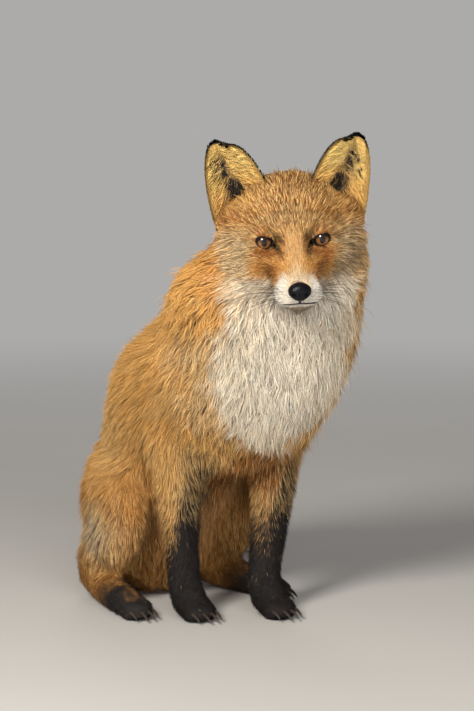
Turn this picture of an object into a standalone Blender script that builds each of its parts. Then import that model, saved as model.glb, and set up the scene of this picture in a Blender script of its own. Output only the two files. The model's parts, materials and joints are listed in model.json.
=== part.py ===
"""A red fox that sits upright with its head turned to its right, as a life-size still model.

Metres, +Z up. The fox faces -Y, its left side is +X, and it sits on the floor at z = 0.
Sizes are written in millimetres and scaled once by MM. They reach to the tips of the coat.

The body is modelled whole: ellipsoids of muscle and coat are hulled in pairs into limbs and trunk,
fused by a voxel remesh, thinned, and then parted into named pieces by simple closed cutters.
Ears, eyes, nose and claws are pieces of their own, each seated in a pocket of the flesh.
"""

import math
from collections import namedtuple

import bmesh
import bpy
from mathutils import Euler, Matrix, Vector

MM = 0.001
GAP = 0.4  # clearance between neighbouring pieces
VOXEL = 3.4  # cell of the remesh that fuses the masses
SMOOTHING = 9  # passes that melt the masses into one form
BODY_TRIANGLES = 3640  # of the whole body, before it is parted
FACE_SPARED = 1e-6  # how strongly the thinning spares the face
SOLE = 3.0  # the masses dip this far below the floor, so that each foot ends in a small flat

SIDES = {"right": -1, "left": 1}

# The head: its own axes start midway between the eyes, with -Y along the muzzle's direction.
EYE_LEVEL = 416
HEAD_AT = (-17, -186, EYE_LEVEL)
HEAD_TURN = Euler((math.radians(10), math.radians(-3), math.radians(-32)), "XYZ")
EYE_AT = (29.5, 5.5, 0)
EYE_RADIUS = 10.5
EYE_RIM = (12.5, 9, 8)  # the hollow of the lids, opened in front of the ball
EYE_HOLLOW = 9
NOSE_AT = (0, -79, -33)
NOSE_SIZE = (12.0, 9.0, 9.5)

# The ear is a cup between two edges that meet at its tip. Each edge is a curve of three points.
EAR_INNER_EDGE = ((23, 36, 50), (44, 40, 92), (76, 47, 94))
EAR_OUTER_EDGE = ((80, 50, 16), (88, 50, 70), (76, 47, 94))
EAR_CUP = 0.36  # depth of the cup, as a share of its width
EAR_WALL = 4.0
EAR_ROWS = 7
EAR_COLUMNS = 6

JAW_SLOPE = 37.5  # of the cut that parts the head from the neck
COLLAR_SLOPE = 38  # of the cut that parts the neck from the trunk
FORELEG_SPREAD = 41
TAIL_RADIUS = 54
CLAW_LENGTH = 15
CLAW_RADIUS = 2.3
TOE_SPREAD = 9.5
TOE_REACH = (19, 26, 26, 19)

COLOURS = {
    "coat_orange": ((0.55, 0.22, 0.055), 0.85),
    "coat_cream": ((0.72, 0.62, 0.48), 0.9),
    "coat_black": ((0.03, 0.026, 0.024), 0.8),
    "coat_tail": ((0.50, 0.24, 0.09), 0.9),
    "coat_tip": ((0.80, 0.74, 0.64), 0.9),
    "ear": ((0.45, 0.22, 0.07), 0.85),
    "eye": ((0.33, 0.14, 0.03), 0.08),
    "nose": ((0.012, 0.012, 0.014), 0.35),
    "claw": ((0.05, 0.04, 0.035), 0.4),
}

Mass = namedtuple("Mass", "at size")


def head_point(place):
    """A place in the head's own axes, in the axes of the body."""
    return Vector(HEAD_AT) + HEAD_TURN.to_matrix() @ Vector(place)


def clear_scene():
    for thing in list(bpy.data.objects):
        bpy.data.objects.remove(thing)


def new_collection(name):
    made = bpy.data.collections.new(name)
    bpy.context.scene.collection.children.link(made)
    return made


def new_object(name, mesh, home):
    thing = bpy.data.objects.new(name, mesh)
    home.objects.link(thing)
    return thing


def dress(thing, finish):
    """Gives a piece its own material."""
    colour, roughness = COLOURS[finish]
    made = bpy.data.materials.new(thing.name)
    made.use_nodes = True
    shader = made.node_tree.nodes["Principled BSDF"]
    shader.inputs["Base Color"].default_value = (*colour, 1)
    shader.inputs["Roughness"].default_value = roughness
    shader.inputs["Metallic"].default_value = 0
    thing.data.materials.clear()
    thing.data.materials.append(made)


# --- Masses -----------------------------------------------------------------------------------


def spine():
    """Rump to nape, along the back of the sitting fox."""
    return [
        Mass((6, 112, 98), (72, 74, 100)),
        Mass((6, 82, 172), (80, 78, 80)),
        Mass((3, 32, 234), (97, 92, 88)),
        Mass((6, -47, 272), (97, 93, 94)),
        Mass((7, -80, 310), (98, 92, 86)),
        Mass((-2, -99, 344), (99, 88, 68)),
        Mass((6, -118, 382), (71, 64, 60)),
    ]


def belly():
    return [
        Mass((4, 80, 120), (60, 62, 62)),
        Mass((6, 18, 190), (62, 60, 56)),
        Mass((10, -36, 214), (62, 58, 60)),
    ]


def ruff_of_the_chest():
    """The deep bib under the throat, which overhangs the forelegs."""
    return [
        Mass((26, -74, 232), (66, 56, 56)),
        Mass((25, -106, 286), (75, 68, 70)),
        Mass((26, -125, 330), (76, 66, 62)),
        Mass((25, -142, 364), (76, 56, 50)),
    ]


def foreleg(side):
    """Shoulder to paw. The left foot is set ahead of the right one."""
    ahead = 36 if side > 0 else 0
    out = 5 if side > 0 else 0
    inset = 3 if side > 0 else 0
    return [
        Mass((side * 58 + out, -20 - ahead * 0.5, 258), (34, 44, 60)),
        Mass((side * 51 + out, -16 - ahead, 194), (31, 32, 40)),
        Mass((side * 46 + out, -16 - ahead, 130), (24, 24, 28)),
        Mass((side * (FORELEG_SPREAD + 1 - inset) + out, -16 - ahead, 74), (19, 20, 22)),
        Mass((side * (FORELEG_SPREAD - inset), -18 - ahead, 42), (19, 18, 16)),
        Mass((side * (FORELEG_SPREAD - inset), -30 - ahead, 20), (20, 24, 18)),
    ]


def forepaw_centre(side):
    return foreleg(side)[-1].at


def hindpaw_centre(side):
    return (side * 91, 16, 18)


def hindleg(side):
    """Hip, thigh and folded shank."""
    return [
        Mass((side * 52 + 8, 110, 110), (42, 56, 80)),
        Mass((side * 65 + 5, 82, 122), (38, 46, 62)),
        Mass((side * 73 + 3, 57, 120), (32, 34, 48)),
        Mass((side * 76, 62, 84), (28, 32, 40)),
    ]


def hock(side):
    """Shank to toes, flat on the floor."""
    toes = hindpaw_centre(side)
    return [
        Mass((side * 72, 94, 66), (26, 34, 36)),
        Mass((side * 68, 124, 34), (21, 24, 28)),
        Mass((side * 76, 88, 24), (19, 26, 22)),
        Mass((side * 85, 50, 20), (19, 24, 19)),
        Mass(toes, (19, 24, 17)),
    ]


def tail():
    """The brush lies on the floor behind the fox and curls round its left side."""
    stations = (
        ((6, 172, 64), 0.60),
        ((28, 214, 52), 0.76),
        ((58, 256, 0), 0.92),
        ((98, 286, 0), 1.0),
        ((146, 296, 0), 0.97),
        ((190, 286, 0), 0.80),
        ((220, 262, 0), 0.54),
        ((238, 238, 0), 0.24),
    )
    masses = []
    for (x, y, height), fullness in stations:
        radius = TAIL_RADIUS * fullness
        masses.append(Mass((x, y, max(radius - SOLE - 1, height)), (radius, radius, radius)))
    return masses


def head_masses():
    """Chains of masses in the head's own axes. Each chain is hulled in pairs."""
    muzzle = [
        Mass((0, -70, -38), (16, 11, 13)),
        Mass((0, -58, -38), (25, 14, 16)),
        Mass((0, -34, -30), (23, 18, 20)),
        Mass((0, -8, -16), (32, 20, 24)),
        Mass((0, 20, 2), (44, 28, 32)),
        Mass((0, 46, 19), (52, 44, 44)),
        Mass((0, 66, 12), (58, 40, 46)),
    ]
    jaw = [
        Mass((0, -58, -51), (12, 10, 8)),
        Mass((0, -30, -50), (18, 18, 12)),
        Mass((0, 8, -44), (34, 26, 22)),
        Mass((0, 44, -34), (58, 36, 34)),
    ]
    chains = [muzzle, jaw]
    for side in SIDES.values():
        brow = [
            Mass((side * 17, 3, 10), (11, 9, 9)),
            Mass((side * 34, 13, 12), (17, 12, 12)),
        ]
        cheek = [
            Mass((side * 16, -4, -22), (18, 18, 16)),
            Mass((side * 40, 22, -14), (26, 22, 26)),
            Mass((side * 52, 44, -14), (28, 24, 40)),
            Mass((side * 54, 52, -42), (30, 28, 35)),
        ]
        temple = [
            Mass((side * 50, 46, 8), (26, 22, 28)),
            Mass((side * 47, 55, 20), (25, 16, 16)),
        ]
        whisker_pad = [
            Mass((side * 13, -61, -43), (13, 13, 11)),
            Mass((side * 14, -45, -41), (12.5, 14, 12)),
        ]
        chains += [brow, cheek, temple, whisker_pad]
    return chains


def toes(centre, span):
    """Four toes at the front of a paw, each a mass of its own."""
    x, y, _ = centre
    masses = []
    for number in range(4):
        across = (number - 1.5) * TOE_SPREAD * span
        masses.append(Mass((x + across, y - TOE_REACH[number], 13), (7.2, 13, 13)))
    return masses


# --- Building the whole form --------------------------------------------------------------------


def add_sphere_points(bm, mass, frame):
    """The points of one ellipsoid, with no faces, for a hull."""
    made = bmesh.ops.create_uvsphere(bm, u_segments=20, v_segments=12, radius=1)
    verts = made["verts"]
    shape = Matrix.Translation(mass.at) @ Matrix.Diagonal((*mass.size, 1))
    bmesh.ops.transform(bm, matrix=frame @ shape, verts=verts)
    return verts


def hull_of(masses, frame, name):
    """One closed mesh round all of these masses."""
    bm = bmesh.new()
    for mass in masses:
        add_sphere_points(bm, mass, frame)
    bmesh.ops.delete(bm, geom=list(bm.faces), context="FACES_ONLY")
    bmesh.ops.delete(bm, geom=list(bm.edges), context="EDGES_FACES")
    bmesh.ops.convex_hull(bm, input=list(bm.verts))
    bmesh.ops.delete(bm, geom=[v for v in bm.verts if not v.link_faces], context="VERTS")
    bmesh.ops.recalc_face_normals(bm, faces=list(bm.faces))
    mesh = bpy.data.meshes.new(name)
    bm.to_mesh(mesh)
    bm.free()
    return mesh


def join_meshes(meshes, name):
    bm = bmesh.new()
    for mesh in meshes:
        bm.from_mesh(mesh)
        bpy.data.meshes.remove(mesh)
    joined = bpy.data.meshes.new(name)
    bm.to_mesh(joined)
    bm.free()
    return joined


def evaluated_mesh(thing):
    graph = bpy.context.evaluated_depsgraph_get()
    mesh = bpy.data.meshes.new_from_object(thing.evaluated_get(graph))
    mesh.transform(thing.matrix_world)
    return mesh


def chain_hulls(chain, frame):
    pairs = zip(chain, chain[1:])
    return [hull_of(pair, frame, "hull") for pair in pairs]


def whole_body(home):
    """All flesh and coat as one fused, thinned mesh."""
    scaled = Matrix.Scale(MM, 4)
    head_frame = scaled @ Matrix.Translation(HEAD_AT) @ HEAD_TURN.to_matrix().to_4x4()
    chains = [spine(), belly(), ruff_of_the_chest(), tail()]
    for side in SIDES.values():
        chains += [foreleg(side), hindleg(side), hock(side)]
    hulls = []
    for chain in chains:
        hulls += chain_hulls(chain, scaled)
    for chain in head_masses():
        hulls += chain_hulls(chain, head_frame)
    for side in SIDES.values():
        for centre, span in ((forepaw_centre(side), 1.0), (hindpaw_centre(side), 0.95)):
            for toe in toes(centre, span):
                rear = Mass((centre[0], centre[1], 14), (10, 12, 12))
                hulls.append(hull_of([toe, rear], scaled, "toe"))
    body = new_object("body", join_meshes(hulls, "body"), home)
    fuse = body.modifiers.new("fuse", "REMESH")
    fuse.mode = "VOXEL"
    fuse.voxel_size = VOXEL * MM
    melt = body.modifiers.new("melt", "SMOOTH")
    melt.factor = 0.5
    melt.iterations = SMOOTHING
    body.data = evaluated_mesh(body)
    body.modifiers.clear()
    thin(body)
    return body


def thin(body):
    """Cuts the number of triangles, most on the trunk and least on the face."""
    near = body.vertex_groups.new(name="spared")
    face = head_point((0, -28, -12)) * MM
    full, none = 52 * MM, 120 * MM
    for vertex in body.data.vertices:
        far = (vertex.co - face).length
        share = min(1, max(0, (none - far) / (none - full)))
        near.add([vertex.index], 0.99 * share, "REPLACE")
    count = sum(len(face.vertices) - 2 for face in body.data.polygons)
    decimate = body.modifiers.new("thin", "DECIMATE")
    decimate.ratio = BODY_TRIANGLES / count
    decimate.vertex_group = near.name
    decimate.invert_vertex_group = True
    decimate.vertex_group_factor = FACE_SPARED
    decimate.use_collapse_triangulate = True
    body.data = evaluated_mesh(body)
    body.modifiers.clear()


# --- Parting --------------------------------------------------------------------------------------


def cut(thing, cutter, operation):
    """Applies one Boolean to a mesh object, in place."""
    step = thing.modifiers.new(operation.lower(), "BOOLEAN")
    step.operation = operation
    step.solver = "EXACT"
    step.object = cutter
    made = evaluated_mesh(thing)
    thing.modifiers.remove(step)
    thing.data = made


def block(name, centre, size, turn, home):
    """A closed box, as a cutter. Centre and size are in millimetres."""
    bm = bmesh.new()
    bmesh.ops.create_cube(bm, size=1)
    place = Matrix.Translation(centre) @ turn @ Matrix.Diagonal((*size, 1))
    bmesh.ops.transform(bm, matrix=Matrix.Scale(MM, 4) @ place, verts=bm.verts)
    mesh = bpy.data.meshes.new(name)
    bm.to_mesh(mesh)
    bm.free()
    return cutter_object(name, mesh, home)


def bulb(name, centre, size, turn, home):
    """A closed ellipsoid, as a cutter. Centre and size are in millimetres."""
    bm = bmesh.new()
    bmesh.ops.create_uvsphere(bm, u_segments=14, v_segments=8, radius=1)
    place = Matrix.Translation(centre) @ turn @ Matrix.Diagonal((*size, 1))
    bmesh.ops.transform(bm, matrix=Matrix.Scale(MM, 4) @ place, verts=bm.verts)
    mesh = bpy.data.meshes.new(name)
    bm.to_mesh(mesh)
    bm.free()
    return cutter_object(name, mesh, home)


def cutter_object(name, mesh, home):
    thing = new_object("cutter_" + name, mesh, home)
    thing.hide_render = True
    thing.display_type = "WIRE"
    return thing


def part_off(body, name, shape, centre, size, turn, parts, tools):
    """Takes what lies inside a cutter out of the body as its own piece, with a gap all round."""
    inner = shape(name, centre, size, turn, tools)
    outer = shape(name + "_gap", centre, [length + 2 * GAP for length in size], turn, tools)
    piece = new_object(name, body.data.copy(), parts)
    cut(piece, inner, "INTERSECT")
    cut(body, outer, "DIFFERENCE")
    keep_largest(piece)
    return piece


def keep_largest(thing):
    """Drops the crumbs that a cut can leave beside the piece itself."""
    bm = bmesh.new()
    bm.from_mesh(thing.data)
    todo = set(bm.verts)
    groups = []
    while todo:
        seed = todo.pop()
        group, edge = {seed}, [seed]
        while edge:
            vertex = edge.pop()
            for link in vertex.link_edges:
                other = link.other_vert(vertex)
                if other in todo:
                    todo.discard(other)
                    group.add(other)
                    edge.append(other)
        groups.append(group)
    groups.sort(key=len)
    crumbs = [vertex for group in groups[:-1] for vertex in group]
    bmesh.ops.delete(bm, geom=crumbs, context="VERTS")
    bm.to_mesh(thing.data)
    bm.free()


# --- Ears, eyes, nose and claws ------------------------------------------------------------------


def bend(points, share):
    """A place on a curve of three points, from 0 at the first to 1 at the last."""
    first, middle, last = (Vector(point) for point in points)
    return first.lerp(middle, share).lerp(middle.lerp(last, share), share)


def ear(side, name, parts):
    """A cup of even wall, open to the front, whose base is sunk in the head."""
    bm = bmesh.new()
    rows = []
    for row in range(EAR_ROWS):
        share = -0.16 + 1.13 * row / (EAR_ROWS - 1)
        inner, outer = bend(EAR_INNER_EDGE, share), bend(EAR_OUTER_EDGE, share)
        width = (outer - inner).length
        line = []
        for column in range(EAR_COLUMNS):
            across = column / (EAR_COLUMNS - 1)
            point = inner.lerp(outer, across)
            point.y += EAR_CUP * width * math.sin(math.pi * across) ** 0.8
            point.x *= side
            line.append(bm.verts.new(head_point(point) * MM))
        rows.append(line)
    for low, high in zip(rows, rows[1:]):
        for a, b, c, d in zip(low, low[1:], high[1:], high):
            bm.faces.new((a, b, c, d))
    bmesh.ops.recalc_face_normals(bm, faces=list(bm.faces))
    mesh = bpy.data.meshes.new(name)
    bm.to_mesh(mesh)
    bm.free()
    thing = new_object(name, mesh, parts)
    wall = thing.modifiers.new("wall", "SOLIDIFY")
    wall.thickness = EAR_WALL * MM
    wall.offset = 0
    thing.data = evaluated_mesh(thing)
    thing.modifiers.clear()
    return thing


def seat(thing, flesh, tools):
    """Opens a pocket for a piece in the flesh that carries it."""
    grown = cutter_object(thing.name + "_pocket", thing.data.copy(), tools)
    swell = grown.modifiers.new("swell", "DISPLACE")
    swell.strength = GAP * MM
    swell.mid_level = 0
    grown.data = evaluated_mesh(grown)
    grown.modifiers.clear()
    cut(flesh, grown, "DIFFERENCE")


def ball(name, centre, size, turn, parts, segments=(12, 9)):
    bm = bmesh.new()
    bmesh.ops.create_uvsphere(bm, u_segments=segments[0], v_segments=segments[1], radius=1)
    place = Matrix.Translation(centre) @ turn @ Matrix.Diagonal((*size, 1))
    bmesh.ops.transform(bm, matrix=Matrix.Scale(MM, 4) @ place, verts=bm.verts)
    mesh = bpy.data.meshes.new(name)
    bm.to_mesh(mesh)
    bm.free()
    return new_object(name, mesh, parts)


def claw(name, root, parts):
    """A short cone that curves down from the toe and ends above the floor."""
    rings = 3
    sides = 6
    bm = bmesh.new()
    previous = None
    for ring in range(rings):
        share = ring / rings
        centre = Vector(root) + Vector((0, -CLAW_LENGTH * share, -5.5 * share**2))
        radius = CLAW_RADIUS * (1 - share) ** 0.6
        line = []
        for corner in range(sides):
            angle = math.tau * corner / sides
            offset = Vector((0.7 * math.cos(angle), 0, math.sin(angle))) * radius
            line.append(bm.verts.new((centre + offset) * MM))
        if previous:
            for index in range(sides):
                after = (index + 1) % sides
                bm.faces.new((previous[index], previous[after], line[after], line[index]))
        else:
            bm.faces.new(line)
        previous = line
    tip = bm.verts.new((Vector(root) + Vector((0, -CLAW_LENGTH, -6.2))) * MM)
    for index in range(sides):
        bm.faces.new((previous[index], previous[(index + 1) % sides], tip))
    bmesh.ops.recalc_face_normals(bm, faces=list(bm.faces))
    mesh = bpy.data.meshes.new(name)
    bm.to_mesh(mesh)
    bm.free()
    return new_object(name, mesh, parts)


# --- The fox --------------------------------------------------------------------------------------


def part_the_tail(body, parts, tools):
    """Root, brush and tip, each with a flat end."""
    level = Matrix.Identity(4)
    root = part_off(body, "tail_root", block, (100, 342, 80), (400, 300, 200), level, parts, tools)
    brush = part_off(root, "tail_brush", block, (210, 320, 80), (260, 300, 200), level, parts, tools)
    turned = Matrix.Rotation(math.radians(-44), 4, "Z")
    part_off(brush, "tail_tip", block, (262, 214, 60), (110, 200, 160), turned, parts, tools)


def part_the_head(body, parts, tools):
    """The head leaves the neck behind the ears and under the jaw, the neck leaves the trunk."""
    depth = 200
    tilt = Matrix.Rotation(math.radians(JAW_SLOPE), 4, "X")
    middle = head_point(Vector((0, 30, -31)) + tilt.to_3x3() @ Vector((0, 0, depth / 2)))
    lean = HEAD_TURN.to_matrix().to_4x4() @ tilt
    head = part_off(body, "head", block, middle, (280, 330, depth), lean, parts, tools)
    slope = Matrix.Rotation(math.radians(COLLAR_SLOPE), 4, "X")
    middle = Vector((0, -76, 290)) + slope.to_3x3() @ Vector((0, 0, depth / 2))
    part_off(body, "neck", block, middle, (300, 400, depth), slope, parts, tools)
    return head


def part_the_legs(body, parts, tools):
    """Forelegs, thighs and all four paws."""
    level = Matrix.Identity(4)
    paws = {}
    for word, side in SIDES.items():
        x, y, _ = hindpaw_centre(side)
        paws["hindpaw_" + word] = part_off(
            body, "hindpaw_" + word, block, (x + side * 4, y - 27, 20), (60, 90, 70), level, parts, tools
        )
        x, y, _ = forepaw_centre(side)
        leg = part_off(
            body, "foreleg_" + word, block, (side * 58, y - 2, 90), (96, 92, 196), level, parts, tools
        )
        paws["forepaw_" + word] = part_off(
            leg, "forepaw_" + word, block, (x, y, 10), (100, 120, 50), level, parts, tools
        )
        part_off(
            body, "hindleg_" + word, bulb, (side * 84, 76, 88), (64, 118, 120), level, parts, tools
        )
    return paws


def add_claws(paw, centre, side, span, parts, tools):
    """Four claws, each in a pocket of its toe."""
    for number in range(4):
        across = (number - 1.5) * TOE_SPREAD * span
        reach = TOE_REACH[number] + 7.5
        name = paw.name.replace("paw", "claw") + "_" + str(number + 1)
        made = claw(name, (centre[0] + across, centre[1] - reach, 13.5), parts)
        seat(made, paw, tools)
        dress(made, "claw")


def add_head_parts(head, parts, tools):
    """Ears, eyes and nose."""
    turn = HEAD_TURN.to_matrix().to_4x4()
    for word, side in SIDES.items():
        shell = ear(side, "ear_" + word, parts)
        seat(shell, head, tools)
        dress(shell, "ear")
        place = (side * EYE_AT[0], EYE_AT[1], EYE_AT[2])
        hollow = (side * (EYE_AT[0] - 1.5), EYE_AT[1] - EYE_HOLLOW, EYE_AT[2] + 0.5)
        rim = bulb("rim_" + word, head_point(hollow), EYE_RIM, turn, tools)
        cut(head, rim, "DIFFERENCE")
        eye = ball("eye_" + word, head_point(place), [EYE_RADIUS] * 3, turn, parts)
        seat(eye, head, tools)
        dress(eye, "eye")
    nose = ball("nose", head_point(NOSE_AT), NOSE_SIZE, turn, parts)
    seat(nose, head, tools)
    dress(nose, "nose")


def settle(parts):
    """Moves the whole fox so that the middle of its footprint is the origin and it stands at z = 0."""
    points = [vertex.co for thing in parts.objects for vertex in thing.data.vertices]
    low = [min(point[axis] for point in points) for axis in range(3)]
    high = [max(point[axis] for point in points) for axis in range(3)]
    step = Vector((-(low[0] + high[0]) / 2, -(low[1] + high[1]) / 2, -low[2]))
    for thing in parts.objects:
        thing.data.transform(Matrix.Translation(step))


def finish_of(name):
    if name.startswith("forepaw") or name.startswith("hindpaw"):
        return "coat_black"
    return {"neck": "coat_cream", "tail_brush": "coat_tail", "tail_tip": "coat_tip"}.get(name, "coat_orange")


def build_fox():
    clear_scene()
    parts = new_collection("red_fox")
    tools = new_collection("cutters")
    tools.hide_render = True
    body = whole_body(parts)
    level = Matrix.Identity(4)
    trim = block("floor", (0, 0, -500 + SOLE), (2000, 2000, 1000), level, tools)
    cut(body, trim, "DIFFERENCE")
    part_the_tail(body, parts, tools)
    paws = part_the_legs(body, parts, tools)
    head = part_the_head(body, parts, tools)
    keep_largest(body)
    body.name = "trunk"
    for thing in parts.objects:
        dress(thing, finish_of(thing.name))
    for word, side in SIDES.items():
        add_claws(paws["forepaw_" + word], forepaw_centre(side), side, 1.0, parts, tools)
        add_claws(paws["hindpaw_" + word], hindpaw_centre(side), side, 0.95, parts, tools)
    add_head_parts(head, parts, tools)
    settle(parts)


build_fox()
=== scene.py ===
"""The looks of a life-size red fox that sits with its head turned to its right.

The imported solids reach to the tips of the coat. One skin is fused from copies of the solids of flesh and
sunk below them by the depth of the coat, and tufts of hair grow from it back out to their surface. Ears,
eyes, nose, lips, whiskers and claws are pieces of their own.

Sizes are in millimetres unless a name says otherwise, and the model is in metres. Two frames are used: the
head's own, which starts midway between the eyes with -Y along the muzzle, and the body's, which starts on
the floor between the forefeet with the fox facing -Y. Both have the fox's left side at +X. An array of
places, normals or colours has one row for each of them.
"""

from __future__ import annotations

import json
import logging
import math
from dataclasses import dataclass, field, replace
from enum import Enum

import bpy
import numpy as np
from bpy.types import Material, Mesh, Node, NodeSocket, Object
from mathutils import Euler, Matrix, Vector
from mathutils.bvhtree import BVHTree
from mathutils.kdtree import KDTree

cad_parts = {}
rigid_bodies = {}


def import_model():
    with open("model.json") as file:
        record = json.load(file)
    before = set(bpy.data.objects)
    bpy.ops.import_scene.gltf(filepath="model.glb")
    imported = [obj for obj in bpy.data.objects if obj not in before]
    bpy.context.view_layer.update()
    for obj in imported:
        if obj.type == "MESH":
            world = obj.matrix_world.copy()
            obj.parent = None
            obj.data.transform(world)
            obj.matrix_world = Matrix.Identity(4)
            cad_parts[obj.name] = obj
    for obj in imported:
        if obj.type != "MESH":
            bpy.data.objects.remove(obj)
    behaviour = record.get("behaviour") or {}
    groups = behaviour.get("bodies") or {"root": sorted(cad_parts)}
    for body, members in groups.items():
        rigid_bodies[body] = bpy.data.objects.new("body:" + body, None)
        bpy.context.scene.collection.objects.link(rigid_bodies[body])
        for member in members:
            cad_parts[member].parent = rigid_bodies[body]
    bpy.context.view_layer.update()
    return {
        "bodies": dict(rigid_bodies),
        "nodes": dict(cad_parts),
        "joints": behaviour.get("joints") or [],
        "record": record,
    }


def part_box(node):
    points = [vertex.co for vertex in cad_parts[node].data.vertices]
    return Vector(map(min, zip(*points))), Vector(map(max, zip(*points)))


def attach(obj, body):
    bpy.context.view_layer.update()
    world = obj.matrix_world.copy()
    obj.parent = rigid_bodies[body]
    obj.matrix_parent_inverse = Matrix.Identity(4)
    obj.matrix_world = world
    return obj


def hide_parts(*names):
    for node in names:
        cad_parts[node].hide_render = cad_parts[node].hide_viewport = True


Rows = np.ndarray
Chance = np.random.Generator
MM = 0.001
LOG = logging.getLogger("fox")
FLESH = (
    "trunk", "neck", "head", "tail_root", "tail_brush", "tail_tip",
    "foreleg_left", "foreleg_right", "forepaw_left", "forepaw_right",
    "hindleg_left", "hindleg_right", "hindpaw_left", "hindpaw_right",
)
HEAD_EULER = (math.radians(10), math.radians(-3), math.radians(-32))
EYES_ABOVE = Vector((-17.0, -186.0, 416.0))  # the head frame's origin in the body's frame
EYE_ASIDE, EYE_SETBACK = 29.5, 5.5  # of the eyeballs' centres, from the middle and behind that origin
LID_OUTER, LID_INNER, LID_ABOVE, LID_BELOW = 8.0, 9.2, 6.3, 6.0  # from the eye's centre to the lids' edge
LID_TILT = 0.16  # rise of the lids' opening towards the outside
LID_BALL, LID_BALL_SETBACK = 12.9, EYE_SETBACK + 2.2  # the ball that the lids lie on, and its centre's place
FLOOR_GAP, SKIN_GAP = 0.5, 1.2  # from the floor to the lowest hair and to the lowest skin
FULL_COAT, QUICK_COAT = 0.98, 0.5
BAKE_PATCH = 0.003  # a tuft's share of the side of its bake map


# --- Small helpers ---


def unit(vectors: Rows) -> Rows:
    """Scales each row to length one; a row of zeros stays as it is."""
    length = np.linalg.norm(vectors, axis=-1, keepdims=True)
    return vectors / np.maximum(length, 1e-12)


def ramp(values: Rows, low: float, high: float) -> Rows:
    """A smooth step from 0 at low to 1 at high, which falls where low is above high."""
    share = np.clip((values - low) / (high - low), 0.0, 1.0)
    return share * share * (3.0 - 2.0 * share)


def blob(points: Rows, centre: tuple, reach: tuple) -> Rows:
    """A soft spot: 1 at its centre, and about a third at its reach along each axis."""
    away = (points - np.asarray(centre, float)) / np.asarray(reach, float)
    return np.exp(-np.sum(away * away, axis=-1))


def ripple(points: Rows, wave: float, seed: int) -> Rows:
    """Smooth noise from a sum of sine waves, the same on every run.

    Args:
        points: Places in millimetres.
        wave: The typical wavelength in millimetres.
        seed: Which noise.

    Returns:
        Values from about -1 to 1.
    """
    chance = np.random.default_rng(seed)
    total = np.zeros(len(points))
    for _ in range(7):
        heading = unit(chance.normal(size=(1, 3)))[0] * math.tau / (wave * chance.uniform(0.6, 1.7))
        total += np.sin(points @ heading + chance.uniform(0, math.tau))
    return total / 2.6


def mixed(first: Rows, second: Rows, share: Rows | float) -> Rows:
    """Blends colours, or rows of them; a share of 0 gives the first."""
    return first + (second - first) * np.asarray(np.clip(share, 0.0, 1.0))[..., None]


def calm() -> None:
    """Leaves nothing selected, so that an operator acts only on what is picked next."""
    for thing in bpy.context.selected_objects:
        thing.select_set(False)
    bpy.context.view_layer.objects.active = None


def pick(thing: Object) -> None:
    """Makes this the one selected and active object."""
    calm()
    thing.select_set(True)
    bpy.context.view_layer.objects.active = thing


def as_one(things: list[Object], name: str) -> Object:
    """Joins objects into the first of them.

    Args:
        things: What to join.
        name: The name of the joined object and of its mesh.

    Returns:
        The joined object.
    """
    calm()
    for thing in things:
        thing.select_set(True)
    bpy.context.view_layer.objects.active = things[0]
    bpy.ops.object.join()
    joined = bpy.context.view_layer.objects.active
    joined.name = joined.data.name = name
    return joined


def face_outwards(thing: Object) -> None:
    """Turns all faces of a closed piece outwards and shades it smooth."""
    pick(thing)
    bpy.ops.object.mode_set(mode="EDIT")
    bpy.ops.mesh.select_all(action="SELECT")
    bpy.ops.mesh.normals_make_consistent(inside=False)
    bpy.ops.object.mode_set(mode="OBJECT")
    bpy.ops.object.shade_smooth()


def soften(thing: Object, rounds: int) -> None:
    """Smooths the surface of a piece, this many times over."""
    pick(thing)
    smooth = thing.modifiers.new("soften", "SMOOTH")
    smooth.factor = 0.5
    smooth.iterations = rounds
    bpy.ops.object.modifier_apply(modifier=smooth.name)


def corners_of(mesh: Mesh) -> Rows:
    """All vertices of a mesh."""
    points = np.empty(len(mesh.vertices) * 3, np.float32)
    mesh.vertices.foreach_get("co", points)
    return points.reshape(-1, 3).astype(float)


def put_corners(mesh: Mesh, points: Rows) -> None:
    """Moves the vertices of a mesh."""
    mesh.vertices.foreach_set("co", points.astype(np.float32).ravel())
    mesh.update()


def normals_of(mesh: Mesh) -> Rows:
    """The normals at the vertices of a mesh."""
    normals = np.empty(len(mesh.vertices) * 3, np.float32)
    mesh.vertices.foreach_get("normal", normals)
    return normals.reshape(-1, 3).astype(float)


def mesh_from(name: str, points: Rows, faces: Rows) -> Mesh:
    """Makes a mesh of triangles or of quads from arrays.

    Args:
        name: Its name.
        points: Vertices in metres.
        faces: Rows of three or four vertex numbers.

    Returns:
        The new mesh, shaded smooth.
    """
    mesh = bpy.data.meshes.new(name)
    sides = faces.shape[1]
    mesh.vertices.add(len(points))
    mesh.vertices.foreach_set("co", points.astype(np.float32).ravel())
    mesh.loops.add(len(faces) * sides)
    mesh.loops.foreach_set("vertex_index", faces.astype(np.int32).ravel())
    mesh.polygons.add(len(faces))
    mesh.polygons.foreach_set("loop_start", np.arange(0, len(faces) * sides, sides, dtype=np.int32))
    mesh.polygons.foreach_set("use_smooth", np.ones(len(faces), bool))
    mesh.update(calc_edges=True)
    mesh.validate()
    return mesh


def object_from(mesh: Mesh) -> Object:
    """Shows a mesh as an object of the same name."""
    thing = bpy.data.objects.new(mesh.name, mesh)
    bpy.context.scene.collection.objects.link(thing)
    return thing


def paint_points(mesh: Mesh, colours: Rows) -> None:
    """Stores one linear colour per vertex in the attribute that the coat's materials read."""
    layer = mesh.color_attributes.new("pelt", "FLOAT_COLOR", "POINT")
    rgba = np.ones((len(colours), 4), np.float32)
    rgba[:, :3] = colours
    layer.data.foreach_set("color", rgba.ravel())


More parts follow.
